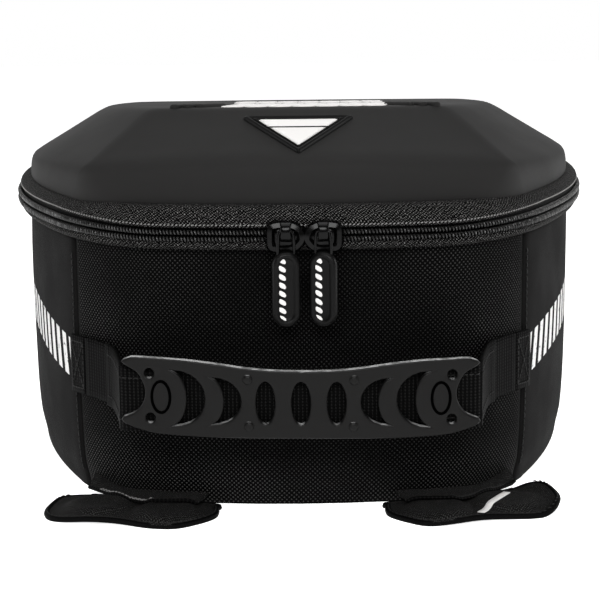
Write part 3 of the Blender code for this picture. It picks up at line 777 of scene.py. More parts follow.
def wall_cloth(name, run, material, slot, node):
    """One wall of the case over a run of headings, its side edges turned in at the seams."""
    headings, lengths = run
    up = line_lengths(CASE_PROFILE)
    rows = []
    for (inset, height), level in zip(CASE_PROFILE, up):
        row = []
        for heading, length in zip(headings, lengths):
            fade = edge_fade(length, lengths[0], lengths[-1], 0.020) * edge_fade(level, 0.0, up[-1], 0.020)
            turned = 1.0 - edge_fade(length, lengths[0], lengths[-1], 0.0018)
            move = WALL_WAVE * ripple(length, level) * fade - WALL_TURN * turned
            row.append(bag_point(heading, inset - move, height))
        rows.append(row)
    piece = sheet_piece(name, rows, lengths, up, "case", material, slot)
    thicken(piece, WALL_THICKNESS)
    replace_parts(piece, node)


# Top stitching: its distance beside the seam and its spacing.
SEAM_OFFSET = 0.0032
SEAM_PITCH = 0.0032


def seam_stitches(name, heading, side):
    """A row of top stitching beside an upright seam."""
    seats = []
    place = heading_at(arc_length(heading) + side * SEAM_OFFSET)
    levels = even_line(CASE_PROFILE, SEAM_PITCH)
    for low, high in zip(levels[3:-3], levels[4:-2]):
        point = bag_point(place, low[0] - 0.0001, low[1])
        tangent = (bag_point(place, high[0], high[1]) - point).normalized()
        seats.append((point, tangent, outward(place)))
    stitches(name, seats, 0.0025, 0.00028, "case", DARK_THREAD)


def make_case():
    nylon, plain = (FRONT_CLOTH, "ballistic_nylon"), (SIDE_CLOTH, "side_cloth")
    front = plan_run(-SEAM_HEADING, SEAM_HEADING, CLOTH_STEP)
    right = plan_run(SEAM_HEADING, REAR_SEAM_HEADING, CLOTH_STEP)
    left = plan_run(-REAR_SEAM_HEADING, -SEAM_HEADING, CLOTH_STEP)
    rear = rear_run(REAR_SEAM_HEADING, CLOTH_STEP)
    wall_cloth("front_cloth", front, *nylon, "front_panel")
    wall_cloth("side_cloth_right", right, *plain, "side_panel_right")
    wall_cloth("side_cloth_left", left, *plain, "side_panel_left")
    wall_cloth("rear_cloth", rear, *nylon, "rear_panel")
    for side, label in ((1.0, "right"), (-1.0, "left")):
        seam_stitches("front_seam_" + label, side * SEAM_HEADING, side)
        seam_stitches("rear_seam_" + label, side * REAR_SEAM_HEADING, -side)


# ---------------------------------------------------------------- zip band

def band(name, profile, body, material, slot, node, thickness, end=180.0, tuck=0.0):
    """A ribbon round the bag in a shape given as (inset, height) points, tucked in along the sides."""
    headings, lengths = plan_run(-end, end, CLOTH_STEP)
    closed = end == 180.0
    section = smooth_line(profile, 0.0008)
    up = line_lengths(section)
    columns = headings[:-1] if closed else headings
    rows = [[zip_point(heading, inset + tuck * side_share(heading), height) for heading in columns]
            for inset, height in section]
    piece = sheet_piece(name, rows, lengths, up, body, material, slot, closed)
    thicken(piece, thickness)
    if node:
        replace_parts(piece, node)


def band_stitches(name, inset, height, body):
    """A row of slanted stitches round a ribbon's edge."""
    seats = [(zip_point(heading, inset + SIDE_TUCK * side_share(heading), height), along(heading),
              outward(heading)) for heading in plan_run(-180.0, 180.0, 0.0017)[0][:-1]]
    stitches(name, seats, 0.0011, 0.00030, body, THREAD, slant=0.5)


# The coil halves: each one's distance from the chain's middle, its size, and points per turn.
COIL_APART = 0.00145
COIL_HALF_HEIGHT = 0.00080
COIL_HALF_DEPTH = 0.00085
COIL_PITCH = 0.0015
COIL_INSET = 0.0014
COIL_WIRE = 0.00038
COIL_CORE = 0.00055
COIL_STEPS = 8
TRIM_THICKNESS = 0.0009
TAPE_THICKNESS = 0.0005


def coil_line(middle):
    """One zip half: a flattened helix of nylon along the tape's edge."""
    first = arc_length(-ZIP_END_HEADING)
    last = arc_length(ZIP_END_HEADING)
    line = []
    for index in range(int((last - first) / COIL_PITCH * COIL_STEPS) + 1):
        turn = 2 * pi * index / COIL_STEPS
        heading = heading_at(first + COIL_PITCH * index / COIL_STEPS)
        flat = abs(cos(turn)) ** 0.7 * (1.0 if cos(turn) > 0.0 else -1.0)
        line.append(zip_point(heading, COIL_INSET - COIL_HALF_DEPTH * sin(turn),
                              middle + COIL_HALF_HEIGHT * flat))
    return line


def make_band():
    upper = ((0.0022, UPPER_TRIM_LOW + 0.0016), (0.0012, UPPER_TRIM_LOW), (0.0002, UPPER_TRIM_LOW + 0.0008),
             (0.0000, UPPER_TRIM_LOW + 0.0034), (0.0012, UPPER_TRIM_LOW + 0.0062),
             (0.0036, UPPER_TRIM_TOP - 0.0010), (0.0066, UPPER_TRIM_TOP - 0.0002))
    lower = ((0.0086, BAND_LOW - 0.0005), (0.0046, BAND_LOW - 0.0001), (0.0022, BAND_LOW + 0.0006),
             (0.0008, BAND_LOW + 0.0018), (0.0006, LOWER_TRIM_TOP - 0.0010), (0.0014, LOWER_TRIM_TOP))
    band("upper_band", upper, "lid", TRIM, "band_weave", "upper_trim", TRIM_THICKNESS, tuck=SIDE_TUCK)
    band("lower_band", lower, "case", TRIM, "band_weave", "lower_trim", TRIM_THICKNESS, tuck=SIDE_TUCK * 0.7)
    band_stitches("upper_band_stitches", 0.0001, UPPER_TRIM_LOW + 0.0012, "lid")
    upper_tape = ((0.0029, CHAIN_MIDDLE + 0.0002), (0.0029, UPPER_TRIM_LOW + 0.0010),
                  (0.0034, UPPER_TRIM_LOW + 0.0040), (0.0062, UPPER_TRIM_TOP - 0.0030))
    lower_tape = ((0.0089, CASE_TOP - 0.0100), (0.0086, CASE_TOP - 0.0010), (0.0060, CASE_TOP + 0.0022),
                  (0.0034, CASE_TOP + 0.0030), (0.0029, LOWER_TRIM_TOP), (0.0029, CHAIN_MIDDLE - 0.0002))
    for name, profile, body in (("upper", upper_tape, "lid"), ("lower", lower_tape, "case")):
        band(name + "_zip_tape", profile, body, ZIP_TAPE, "zip_tape", name + "_tape", TAPE_THICKNESS,
             ZIP_END_HEADING)
    for name, side, body in (("upper", 1.0, "lid"), ("lower", -1.0, "case")):
        middle = CHAIN_MIDDLE + side * COIL_APART
        coil = tube_mesh(name + "_zip_coil", [coil_line(middle)], COIL_WIRE, 5)
        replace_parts(new_piece(name + "_zip_coil", coil, body, COIL, "zip_coil"), name + "_coil")
        cord = [zip_point(heading, COIL_INSET, middle)
                for heading in plan_run(-ZIP_END_HEADING, ZIP_END_HEADING, 0.003)[0]]
        core = tube_mesh(name + "_zip_core", [cord], COIL_CORE)
        new_piece(name + "_zip_core", core, body, ZIP_TAPE, "zip_tape")


# ---------------------------------------------------------------- lid

def lid_columns():
    """Matching headings of the lid's and the crown's plan, from the rear round the front."""
    steps = (24, 10, 3, 46, 14, 16)
    half = [(index, step / count) for index, count in enumerate(steps) for step in range(count)]
    half.append((len(steps) - 1, 1.0))

    def heading(headings, place):
        index, share = place
        return headings[index] + (headings[index + 1] - headings[index]) * share

    right = [(heading(LID_HEADINGS, place), heading(CROWN_HEADINGS, place)) for place in half]
    left = [(-a, -b) for a, b in right[::-1]]
    return left[:-1] + right[:-1]


def lid_lines(inset, drop):
    """Lines of points up the lid, from its rim over the shoulder and the facets to its crown."""
    def lid_point(pair, extra, height, fall, soften):
        sharp = plan_point(LID, pair[0], inset + extra)
        round_ = plan_point(BAG, pair[0], LID_INSET + inset + extra)
        point = sharp.lerp(round_, soften)
        point.z = height - fall * (point.y - FRONT_Y)
        return point

    def corner_drop(pair):
        return 0.0030 * (min(1.0, abs(pair[0]) / 20.0)) ** 2

    def crown_point(pair, extra, height):
        point = plan_point(CROWN, pair[1], min(inset + extra, 0.0088))
        point.z = height - CROWN_FALL * (point.y - FRONT_Y) - drop
        return point

    lines = []
    low = CHAIN_MIDDLE + 0.0060
    for pair in lid_columns():
        shoulder = SHOULDER_HEIGHT - drop - corner_drop(pair)
        profile = [
            lid_point(pair, 0.0, low, 0.0, 0.70),
            lid_point(pair, 0.0, low + 0.0060, 0.0, 0.55),
            lid_point(pair, 0.0002, (low + shoulder) / 2, SHOULDER_FALL / 2, 0.30),
            lid_point(pair, 0.0004, shoulder - 0.0055, SHOULDER_FALL, 0.10),
            lid_point(pair, 0.0016, shoulder - 0.0010, SHOULDER_FALL, 0.0),
            lid_point(pair, 0.0058, shoulder + 0.0022, SHOULDER_FALL, 0.0),
        ]
        last, edge = profile[-1], crown_point(pair, 0.0, CROWN_TOP - 0.0024)
        profile += [last.lerp(edge, share) for share in (0.25, 0.5, 0.75, 0.92)]
        profile.append(crown_point(pair, 0.0030, CROWN_TOP - 0.0013))
        profile.append(crown_point(pair, 0.0082, CROWN_TOP - 0.0006))
        lines.append(smooth_line(profile, 0.0025))
    rows = max(len(line) for line in lines)
    return [resample(line, rows) for line in lines]


def crown_cap(ring):
    """Rows that close the crown inside its last ring."""
    centre = ring.mean(axis=0)
    return [ring + (centre - ring) * share for share in (0.12, 0.30, 0.5, 0.7, 0.88, 0.985)]


def fill_hole(mesh, chosen):
    """Close the hole whose edges start at a chosen point."""
    form = bmesh.new()
    form.from_mesh(mesh)
    edges = [edge for edge in form.edges if edge.is_boundary and chosen(edge.verts[0].co)]
    bmesh.ops.holes_fill(form, edges=edges)
    form.to_mesh(mesh)
    form.free()
    return smooth(mesh, 60.0)


def lid_mesh(name, inset, drop):
    lines = lid_lines(inset, drop)
    rows = [np.array(row) for row in zip(*lines)]
    rows += crown_cap(rows[-1])
    closed = np.concatenate([rows[0], rows[0][:1]])
    across = line_lengths(closed)
    up = line_lengths([row[0] for row in rows])
    mesh = grid_mesh(name, rows, across, up, closed=True)
    return fill_hole(mesh, lambda point: point.z > SHOULDER_HEIGHT)


def make_lid():
    for name, inset, thickness, material, slot, node, fill in (
            ("lid_cover", 0.0, 0.0036, SHELL, "eva_shell", "lid_shell", 1.0),
            ("lid_lining", 0.0046, 0.0006, LINING, "lining", "lid_liner", 0.5)):
        piece = new_piece(name, lid_mesh(name, inset, inset), "lid", material, slot)
        thicken(piece, thickness)
        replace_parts(piece, node)


# ---------------------------------------------------------------- pieces from outlines

def flat_mesh(name, verts, faces, flat):
    """A mesh whose cloth coordinates are its points' own measures on the flat."""
    coordinates = [value for face in faces for vertex in face for value in flat[vertex]]
    return built_mesh(name, verts, faces, 50.0, coordinates)


def radial_mesh(name, outline, place, rings):
    """A disc of quads inside an outline. place(x, y, share) gives each point in space."""
    outline = [np.array(point, float) for point in outline]
    middle = sum(outline) / len(outline)
    count = len(outline)
    flat = [tuple(middle)]
    verts = [place(*middle, 0.0)]
    for ring in range(1, rings + 1):
        share = ring / rings
        for point in outline:
            x, y = middle + (point - middle) * share
            verts.append(place(x, y, share))
            flat.append((x, y))
    faces = []
    for index in range(count):
        after = (index + 1) % count
        faces.append((0, 1 + index, 1 + after))
        for ring in range(rings - 1):
            low = 1 + ring * count
            high = low + count
            faces.append((low + index, high + index, high + after, low + after))
    return flat_mesh(name, verts, faces, flat)


def ring_mesh(name, rings, flats):
    """A solid skin through closed rings in order, its first and last ring filled."""
    verts = [point for ring in rings for point in ring]
    flat = [tuple(point) for ring in flats for point in ring]
    faces = quads(len(rings), len(rings[0])) + end_faces(len(rings), len(rings[0]))
    return flat_mesh(name, verts, faces, flat)


def stadium(half_width, half_length, steps):
    """A bar with round ends, counter-clockwise, and the spine point behind each of its points."""
    straight = half_length - half_width
    points = []
    for end in (1.0, -1.0):
        for step in range(steps + 1):
            turn = pi * step / steps + (0.0 if end > 0 else pi)
            points.append(((half_width * cos(turn), end * straight + half_width * sin(turn)),
                           (0.0, end * straight)))
    return points


def stadium_solid(name, half_width, half_length, profile, place, steps):
    """A bar with round ends whose section is (inset, height) points from one face to the other."""
    rings, flats = [], []
    for inset, height in profile:
        share = 1.0 - inset / half_width
        ring, flat = [], []
        for (x, y), (spine_x, spine_y) in stadium(half_width, half_length, steps):
            u = spine_x + (x - spine_x) * share
            v = spine_y + (y - spine_y) * share
            ring.append(place(u, v, height))
            flat.append((u, v))
        rings.append(ring)
        flats.append(flat)
    return ring_mesh(name, rings, flats)


def frame_at(origin, right, up):
    """Points from (right, up, out) measures on a plane."""
    normal = right.cross(up)

    def place(u, v, out):
        return origin + right * u + up * v + normal * out
    return place


# ---------------------------------------------------------------- badge, print and ribs on the lid

FACET_LOW = Vector((0.0, FRONT_Y + LID_INSET + 0.0058, SHOULDER_HEIGHT + 0.0022 - SHOULDER_FALL * LID_INSET))
FACET_HIGH = Vector((0.0, FRONT_Y + CROWN_SETBACK, CROWN_TOP - 0.0024 - CROWN_FALL * CROWN_SETBACK))
FACET_UP = (FACET_HIGH - FACET_LOW).normalized()
FACET_OUT = Vector((1.0, 0.0, 0.0)).cross(FACET_UP)
FACET_BOW = 0.300
BADGE_MIDDLE = 0.0214
BADGE_HALF_WIDTH = 0.0250
BADGE_LENGTH = 0.0420
BADGE_CORNER = 0.0022


def facet_place(x, along_facet, lift):
    """A point on the lid's front facet, from its low edge up, with its slight bow."""
    bowed = Vector((x, x * x / (2 * FACET_BOW), 0.0))
    return FACET_LOW + FACET_UP * along_facet + bowed + FACET_OUT * lift


def triangle_ring(inset):
    """A triangle with rounded corners, pointing down, moved inward by the inset."""
    half, length = BADGE_HALF_WIDTH, BADGE_LENGTH
    slope = atan(length / half)
    inner = half * (1.0 - cos(slope)) / sin(slope)
    share = 1.0 - inset / inner
    middle = np.array((0.0, length / 2 - inner))
    corners = [np.array((-half, length / 2)), np.array((0.0, -length / 2)), np.array((half, length / 2))]

    def near_corner(corner, other):
        return corner + (other - corner) / np.linalg.norm(other - corner) * BADGE_CORNER

    points = []
    for index, corner in enumerate(corners):
        following = corners[(index + 1) % 3]
        start = near_corner(corner, corners[index - 1])
        stop = near_corner(corner, following)
        ahead = near_corner(following, corner)
        for step in range(7):
            t = step / 6
            points.append(start * (1 - t) ** 2 + 2 * corner * t * (1 - t) + stop * t * t)
        for step in range(1, 8):
            points.append(stop + (ahead - stop) * step / 8)
    return [middle + (point - middle) * share for point in points]


def badge_solid(name, profile, material, slot, node):
    """A triangular ring whose section is (inset, lift) points."""
    flats = [triangle_ring(inset) for inset, _ in profile]
    rings = [[facet_place(x, BADGE_MIDDLE + y, lift) for x, y in flat]
             for flat, (_, lift) in zip(flats, profile)]
    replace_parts(new_piece(name, ring_mesh(name, rings, flats), "lid", material, slot), node)


def make_badge():
    rim = ((0.0000, -0.0010), (0.0000, 0.0006), (0.0003, 0.0013), (0.0010, 0.0017), (0.0016, 0.0015),
           (0.0020, 0.0007), (0.0024, 0.0006), (0.0026, 0.0012), (0.0031, 0.0015), (0.0036, 0.0012),
           (0.0038, 0.0004), (0.0060, 0.0003), (0.0100, 0.0003))
    badge_solid("badge_surround", rim, BADGE_RUBBER, "badge_rubber", "badge_frame")
    face = ((0.0041, 0.0000), (0.0041, 0.0009), (0.0044, 0.0012), (0.0049, 0.0013), (0.0080, 0.0013),
            (0.0102, 0.0013))
    badge_solid("badge_face", face, PRINT, "badge_face", "badge_plate")
    line = [[facet_place(x, BADGE_MIDDLE + level, 0.00136) for x in (-0.0135, 0.0, 0.0135)]
            for level in (0.0065, 0.0071)]
    bar = sheet_piece("badge_line", line, (0.0, 0.0135, 0.0270), (0.0, 0.0006), "lid", BADGE_RUBBER,
                      "badge_rubber")
    thicken(bar, 0.0003, 1.0)


def crown_place(x, y, lift):
    """A point over the flat of the crown; y is measured from the crown's front edge."""
    level = FRONT_Y + CROWN_SETBACK + y
    return Vector((x, level, CROWN_TOP - 0.0006 - CROWN_FALL * (level - FRONT_Y) + lift))


def crown_bar(name, x, y, half_width, half_length, turn, profile, material, slot):
    """A slanted raised bar on the crown."""
    def place(u, v, height):
        return crown_place(x + u * cos(turn) - v * sin(turn), y + u * sin(turn) + v * cos(turn), height)
    bar = stadium_solid(name, half_width, half_length, profile, place, 8)
    return new_piece(name, bar, "lid", material, slot)


# Raised ribs beside the print: middle, distance of the first from it, spacing, and turn.
RIB_MIDDLE = 0.0033
RIB_START = 0.0435
RIB_SPACING = 0.0058
RIB_TURN = 0.42
RIB_SECTION = ((0.0000, -0.0012), (0.0000, 0.0004), (0.0004, 0.0012), (0.0010, 0.0015), (0.0017, 0.0015))
# Plain printed bars: place behind the crown's front edge and half length of each row.
PRINT_ROWS = ((0.0390, 0.0310), (0.1050, 0.0080), (0.1270, 0.0080))
PRINT_MIDDLE = 0.0055
PRINT_SPACING = 0.0108
PRINT_CURVE = 3.2
PRINT_TURN = -0.12
PRINT_SECTION = ((0.0000, -0.0002), (0.0000, 0.0003), (0.0002, 0.0005), (0.0010, 0.0005), (0.0040, 0.0005))


def make_crown():
    for side, label in ((-1.0, "left"), (1.0, "right")):
        for index in range(3):
            x = RIB_MIDDLE + side * (RIB_START + RIB_SPACING * index)
            crown_bar("crown_rib_%s_%d" % (label, index + 1), x, 0.0250 - 0.0015 * index, 0.0021, 0.0130,
                      side * RIB_TURN, RIB_SECTION, SHELL, "eva_shell")
    bars = []
    for row, (y, half) in enumerate(PRINT_ROWS):
        for column in range(-3, 4):
            x = PRINT_MIDDLE + column * PRINT_SPACING
            name = "crown_print_%d_%d" % (row + 1, column + 4)
            bars.append(crown_bar(name, x, y + PRINT_CURVE * x * x, 0.0052, half, PRINT_TURN,
                                  PRINT_SECTION, PRINT, "print_white"))
    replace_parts(bars[0], "print_panel")


# ---------------------------------------------------------------- sliders and pulls

def bell(value, middle, width):
    """1 at the middle, falling off to both sides."""
    return exp(-((value - middle) / width) ** 2)


def slider_outline(nose):
    shape = ((-0.0070, -0.0040), (-0.0073, 0.0000), (-0.0070, 0.0040), (-0.0052, 0.0052), (0.0000, 0.0056),
             (0.0044, 0.0046), (0.0070, 0.0020), (0.0075, 0.0000), (0.0070, -0.0020), (0.0044, -0.0046),
             (0.0000, -0.0056), (-0.0052, -0.0052))
    line = smooth_line([(x * nose, z) for x, z in shape], 0.0009, closed=True)[:-1]
    return line if nose < 0 else line[::-1]


def make_slider(label, heading, nose, turn):
    """A slider on the zip with its bridge, and the wire and rubber pull that hang from it."""
    pivot = bag_point(heading, -0.0045, ZIP_MIDDLE - 0.0010)
    right = along(heading)
    centre = pivot + UPWARD * (CHAIN_MIDDLE - pivot.z) + outward(heading) * -0.0040
    place = frame_at(centre, right, UPWARD)
    body = "slider_" + label

    def shield(x, z, share):
        ridge = 0.0007 * bell(share, 0.86, 0.10) - 0.0003 * bell(share, 0.66, 0.10)
        dome = 0.0011 * bell(share, 0.0, 0.42)
        drop = 0.0012 * max(0.0, (share - 0.90) / 0.10) ** 2
        return place(x, z, 0.0016 + ridge + dome - drop)

    name = "slider_plate_" + label
    plate = radial_mesh(name, slider_outline(nose)[::-1], shield, 12)
    plate = new_piece(name, plate, body, ENAMEL, "slider_metal")
    thicken(plate, 0.0014)
    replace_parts(plate, "slider_" + label)
    sweeps = [pi * step / 12 for step in range(13)]
    arch = [(0.0040 * cos(sweep), 0.0022 + 0.0033 * sin(sweep)) for sweep in sweeps]
    rows = []
    for across in (-0.0019, -0.0013, 0.0, 0.0013, 0.0019):
        sink = 0.0004 if abs(across) > 0.0018 else 0.0
        rows.append([place(across * (1.0 + 0.35 * abs(z) / 0.004), z + pivot.z - centre.z, depth - sink)
                     for z, depth in arch])
    bridge = sheet_piece("slider_bridge_" + label, rows, line_lengths(arch),
                         (0.0, 0.0006, 0.0019, 0.0032, 0.0038), body, ENAMEL, "slider_metal")
    thicken(bridge, 0.0009, 0.0)
    rounding = bridge.modifiers.new("smooth", "SUBSURF")
    rounding.levels = rounding.render_levels = 1
    swung = right * cos(turn) + right.cross(UPWARD) * sin(turn)
    make_pull(label, frame_at(pivot, swung, UPWARD))


PULL_HALF_WIDTH = 0.0060
PULL_HALF_LENGTH = 0.0160
PULL_TOP = -0.0078
MARK_SHIFT = 0.0018
MARK_LEAN = 0.45
MARK_PITCH = 0.0035
PULL_WIRE = ((-0.0024, 0.0004), (-0.0012, 0.0006), (0.0012, 0.0006), (0.0024, 0.0004), (0.0031, -0.0012),
             (0.0034, -0.0050), (0.0032, -0.0090), (0.0018, -0.0106), (-0.0018, -0.0106), (-0.0032, -0.0090),
             (-0.0034, -0.0050), (-0.0031, -0.0012))
PULL_SECTION = ((PULL_HALF_WIDTH - 0.0006, 0.0012), (0.0034, 0.0012), (0.0030, 0.0014), (0.0026, 0.0019),
                (0.0020, 0.0022), (0.0013, 0.0021), (0.0006, 0.0016), (0.0001, 0.0007), (0.0000, 0.0000),
                (0.0001, -0.0007), (0.0006, -0.0016), (0.0013, -0.0020), (PULL_HALF_WIDTH - 0.0006, -0.0020))
MARK_SECTION = ((0.0000, 0.0000), (0.0000, 0.0002), (0.0002, 0.00035), (0.0008, 0.00035))


def make_pull(label, hang):
    """The wire loop and the rubber pull with its raised plain marks, on a hanging plane."""
    pull = "pull_" + label
    wire = [hang(x, z, 0.0) for x, z in smooth_line(PULL_WIRE, 0.0006, closed=True)[:-1]]
    link = tube_mesh("pull_wire_" + label, [wire], 0.00075, closed=True)
    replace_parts(new_piece("pull_wire_" + label, link, pull, ENAMEL, "slider_metal"), "pull_link_" + label)
    middle = PULL_TOP - PULL_HALF_LENGTH
    rubber = stadium_solid(pull + "_rubber", PULL_HALF_WIDTH, PULL_HALF_LENGTH, PULL_SECTION,
                           lambda u, v, h: hang(u, middle + v, h), 16)
    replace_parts(new_piece(pull + "_rubber", rubber, pull, PULL_RUBBER, "pull_rubber"), pull)
    for index in range(8):
        level = middle + 0.0122 - MARK_PITCH * index

        def tick(u, v, h, level=level):
            return hang(v - MARK_SHIFT, level + u - v * MARK_LEAN, 0.0012 + h)
        name = "%s_mark_%d" % (pull, index + 1)
        mark = stadium_solid(name, 0.0011, 0.0016, MARK_SECTION, tick, 6)
        new_piece(name, mark, pull, PRINT, "print_white")


def make_sliders():
    make_slider("left", -1.0, 1.0, -0.12)
    make_slider("right", 1.75, -1.0, 0.30)


# ---------------------------------------------------------------- handle

GRIP_LEVEL = (GRIP_LOW.z + GRIP_HIGH.z) / 2
GRIP_FRONT = GRIP_LOW.y
GRIP_PLATE = 0.0042
GRIP_EDGE = 0.0008
GRIP_BOW = 0.0060
GRIP_HALF_LENGTH = GRIP_HIGH.x
GRIP_STRETCH = 1.025
GRIP_LEAN = 0.015
# The plate is cut across this often, so that it can bow.
GRIP_CUTS = 18
GRIP_CUT = 0.004


def grip_place(x, z, out):
    """A point on the grip: out is towards the front, from the plate's middle."""
    depth = GRIP_PLATE / 2 + GRIP_BOW * (x / GRIP_HALF_LENGTH) ** 2
    return Vector((x * GRIP_STRETCH, GRIP_FRONT + depth - out, GRIP_LEVEL + z - GRIP_LEAN * x))


def crescent(tip_x, tip_high, tip_low, outer, inner):
    """A crescent hole between two arcs through the same tips, bulging to smaller x."""
    middle = (tip_high + tip_low) / 2
    half = (tip_high - tip_low) / 2
    turns = [pi * step / 12 for step in range(13)]
    return ([(tip_x + (outer - tip_x) * sin(turn) ** 0.9, middle + half * cos(turn)) for turn in turns]
            + [(tip_x + (inner - tip_x) * sin(turn) ** 1.1, middle + half * cos(turn) * 0.97)
               for turn in turns[-2:0:-1]])


def ellipse(x, z, half_x, half_z, steps=28):
    return [(x + half_x * cos(2 * pi * step / steps), z + half_z * sin(2 * pi * step / steps))
            for step in range(steps)]


def grip_outline():
    """The grip's outline, half by half: a waisted bar with forked ends."""
    half = [(0.0000, 0.0128), (0.0105, 0.0130), (0.0214, 0.0138), (0.0350, 0.0156), (0.0480, 0.0170),
            (0.0600, 0.0175), (0.0672, 0.0178), (0.0702, 0.0170), (0.0724, 0.0156), (0.0702, 0.0138),
            (0.0660, 0.0112), (0.0636, 0.0068), (0.0628, 0.0028), (0.0638, -0.0016), (0.0665, -0.0052),
            (0.0700, -0.0070), (0.0722, -0.0080), (0.0724, -0.0098), (0.0690, -0.0116), (0.0640, -0.0132),
            (0.0578, -0.0145), (0.0418, -0.0154), (0.0280, -0.0156), (0.0150, -0.0156), (0.0000, -0.0155)]
    left = [(-x, z) for x, z in half[-2:0:-1]]
    return smooth_line(half + left, 0.0016, closed=True)[:-1]


# Crescent holes of the grip: tips' x, high, low, outer and inner x of the two arcs.
CRESCENTS = ((0.0520, 0.0125, -0.0110, 0.0385, 0.0460), (0.0360, 0.0098, -0.0100, 0.0240, 0.0310))


def grip_holes():
    """Three slots in the middle, two crescents and two screw holes on each side."""
    holes = [ellipse(x, -0.0006, 0.0039, 0.0090) for x in (-0.0143, 0.0, 0.0143)]
    for side in (1.0, -1.0):
        for measures in CRESCENTS:
            holes.append([(side * x, z) for x, z in crescent(*measures)])
        holes.append(ellipse(side * 0.0610, 0.0110, 0.0020, 0.0021, 16))
        holes.append(ellipse(side * 0.0608, -0.0078, 0.0020, 0.0021, 16))
    return holes


def grip_mesh():
    """The rubber plate: filled outline with holes and rounded edges, cut fine and bowed."""
    curve = bpy.data.curves.new("grip_outline", "CURVE")
    curve.dimensions = "2D"
    curve.fill_mode = "BOTH"
    curve.extrude = GRIP_PLATE / 2 - GRIP_EDGE
    curve.bevel_depth = GRIP_EDGE
    curve.bevel_resolution = 2
    curve.offset = -GRIP_EDGE
    for line in [grip_outline()] + grip_holes():
        spline = curve.splines.new("POLY")
        spline.points.add(len(line) - 1)
        for target, point in zip(spline.points, line):
            target.co = (point[0], point[1], 0.0, 1.0)
        spline.use_cyclic_u = True
    holder = bpy.data.objects.new("grip_outline", curve)
    bpy.context.scene.collection.objects.link(holder)
    mesh = bpy.data.meshes.new_from_object(holder.evaluated_get(bpy.context.evaluated_depsgraph_get()))
    bpy.data.objects.remove(holder, do_unlink=True)
    form = bmesh.new()
    form.from_mesh(mesh)
    bmesh.ops.remove_doubles(form, verts=form.verts, dist=0.00001)
    for step in range(-GRIP_CUTS, GRIP_CUTS + 1):
        geometry = form.verts[:] + form.edges[:] + form.faces[:]
        bmesh.ops.bisect_plane(form, geom=geometry, plane_co=(step * GRIP_CUT, 0.0, 0.0),
                               plane_no=(1.0, 0.0, 0.0))
    for vertex in form.verts:
        x, z, out = vertex.co
        vertex.co = grip_place(x, z, out)
    mesh.materials.clear()
    form.to_mesh(mesh)
    form.free()
    mesh.name = "carry_grip"
    return smooth(mesh, 50.0)


def make_grip():
    grip = new_piece("carry_grip", grip_mesh(), "handle", RUBBER, "grip_rubber")
    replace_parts(grip, "handle_grip")
    top = GRIP_PLATE / 2
    lines = [[grip_place(x, z, top + 0.0001) for x, z in ellipse(side * 0.0564, 0.0012, 0.0037, 0.0066, 32)]
             for side in (-1.0, 1.0)]
    # The rings are thin near-black tubes: painted groove shade.
    rings = tube_mesh("grip_rings", lines, 0.00060, closed=True)
    new_piece("grip_rings", rings, "handle", PAINTED_GROOVE_SHADE, "grip_rubber")
    stud = ((0.0000, -0.0002), (0.0003, 0.0005), (0.0008, 0.0009), (0.0014, 0.0010), (0.0019, 0.0010))
    spots = ((-0.0214, 0.0092), (-0.0210, -0.0104), (0.0214, 0.0092), (0.0210, -0.0104))
    for index, (x, z) in enumerate(spots):
        def place(u, v, h, x=x, z=z):
            return grip_place(x + u, z + v, top + h)
        name = "grip_stud_%d" % (index + 1)
        boss = stadium_solid(name, 0.0021, 0.0022, stud, place, 10)
        new_piece(name, boss, "handle", RUBBER, "grip_rubber")


STRAP_HALF = 0.0128
STRAP_HEIGHT = 0.0585
STRAP_THICKNESS = 0.0016
STRAP_END_LENGTH = 0.0130
SEWN_HALF = STRAP_HALF - 0.0025
STRAP_BACK = GRIP_FRONT + GRIP_PLATE + 0.0012


def strap_line():
    """Middle line of the webbing in plan, from the left anchor round behind the grip."""
    anchor = plan_point(BAG, HANDLE_HEADING, CASE_INSET - 0.0022)
    leave = anchor - along(HANDLE_HEADING) * 0.020
    start = Vector((GRIP_HALF_LENGTH, STRAP_BACK + GRIP_BOW, 0.0))
    half = [anchor, anchor.lerp(leave, 0.5), anchor.lerp(leave, 0.92).lerp(start, 0.06),
            leave.lerp(start, 0.40), leave.lerp(start, 0.75), start]
    for share in (0.85, 0.65, 0.45, 0.22, 0.0):
        half.append(Vector((GRIP_HALF_LENGTH * share, STRAP_BACK + GRIP_BOW * share * share, 0.0)))
    points = [Vector((-point.x, point.y, 0.0)) for point in half] + half[-2::-1]
    return [Vector(point) for point in smooth_line(points, 0.0025)]


def strap_drop(point):
    """How far the webbing has sagged below its sewn ends at a point of its line."""
    anchor_y = plan_point(BAG, HANDLE_HEADING, CASE_INSET).y
    return (STRAP_HEIGHT - GRIP_LEVEL) * smooth_step(anchor_y - point.y, 0.0, anchor_y - STRAP_BACK)


def strap_levels(half, count):
    """Even levels from one edge of the webbing to the other."""
    return [-half + 2 * half * step / count for step in range(count + 1)]


def freeze(piece):
    """Bake a piece's modifiers into its mesh."""
    graph = bpy.context.evaluated_depsgraph_get()
    mesh = bpy.data.meshes.new_from_object(piece.evaluated_get(graph))
    piece.modifiers.clear()
    piece.data = mesh


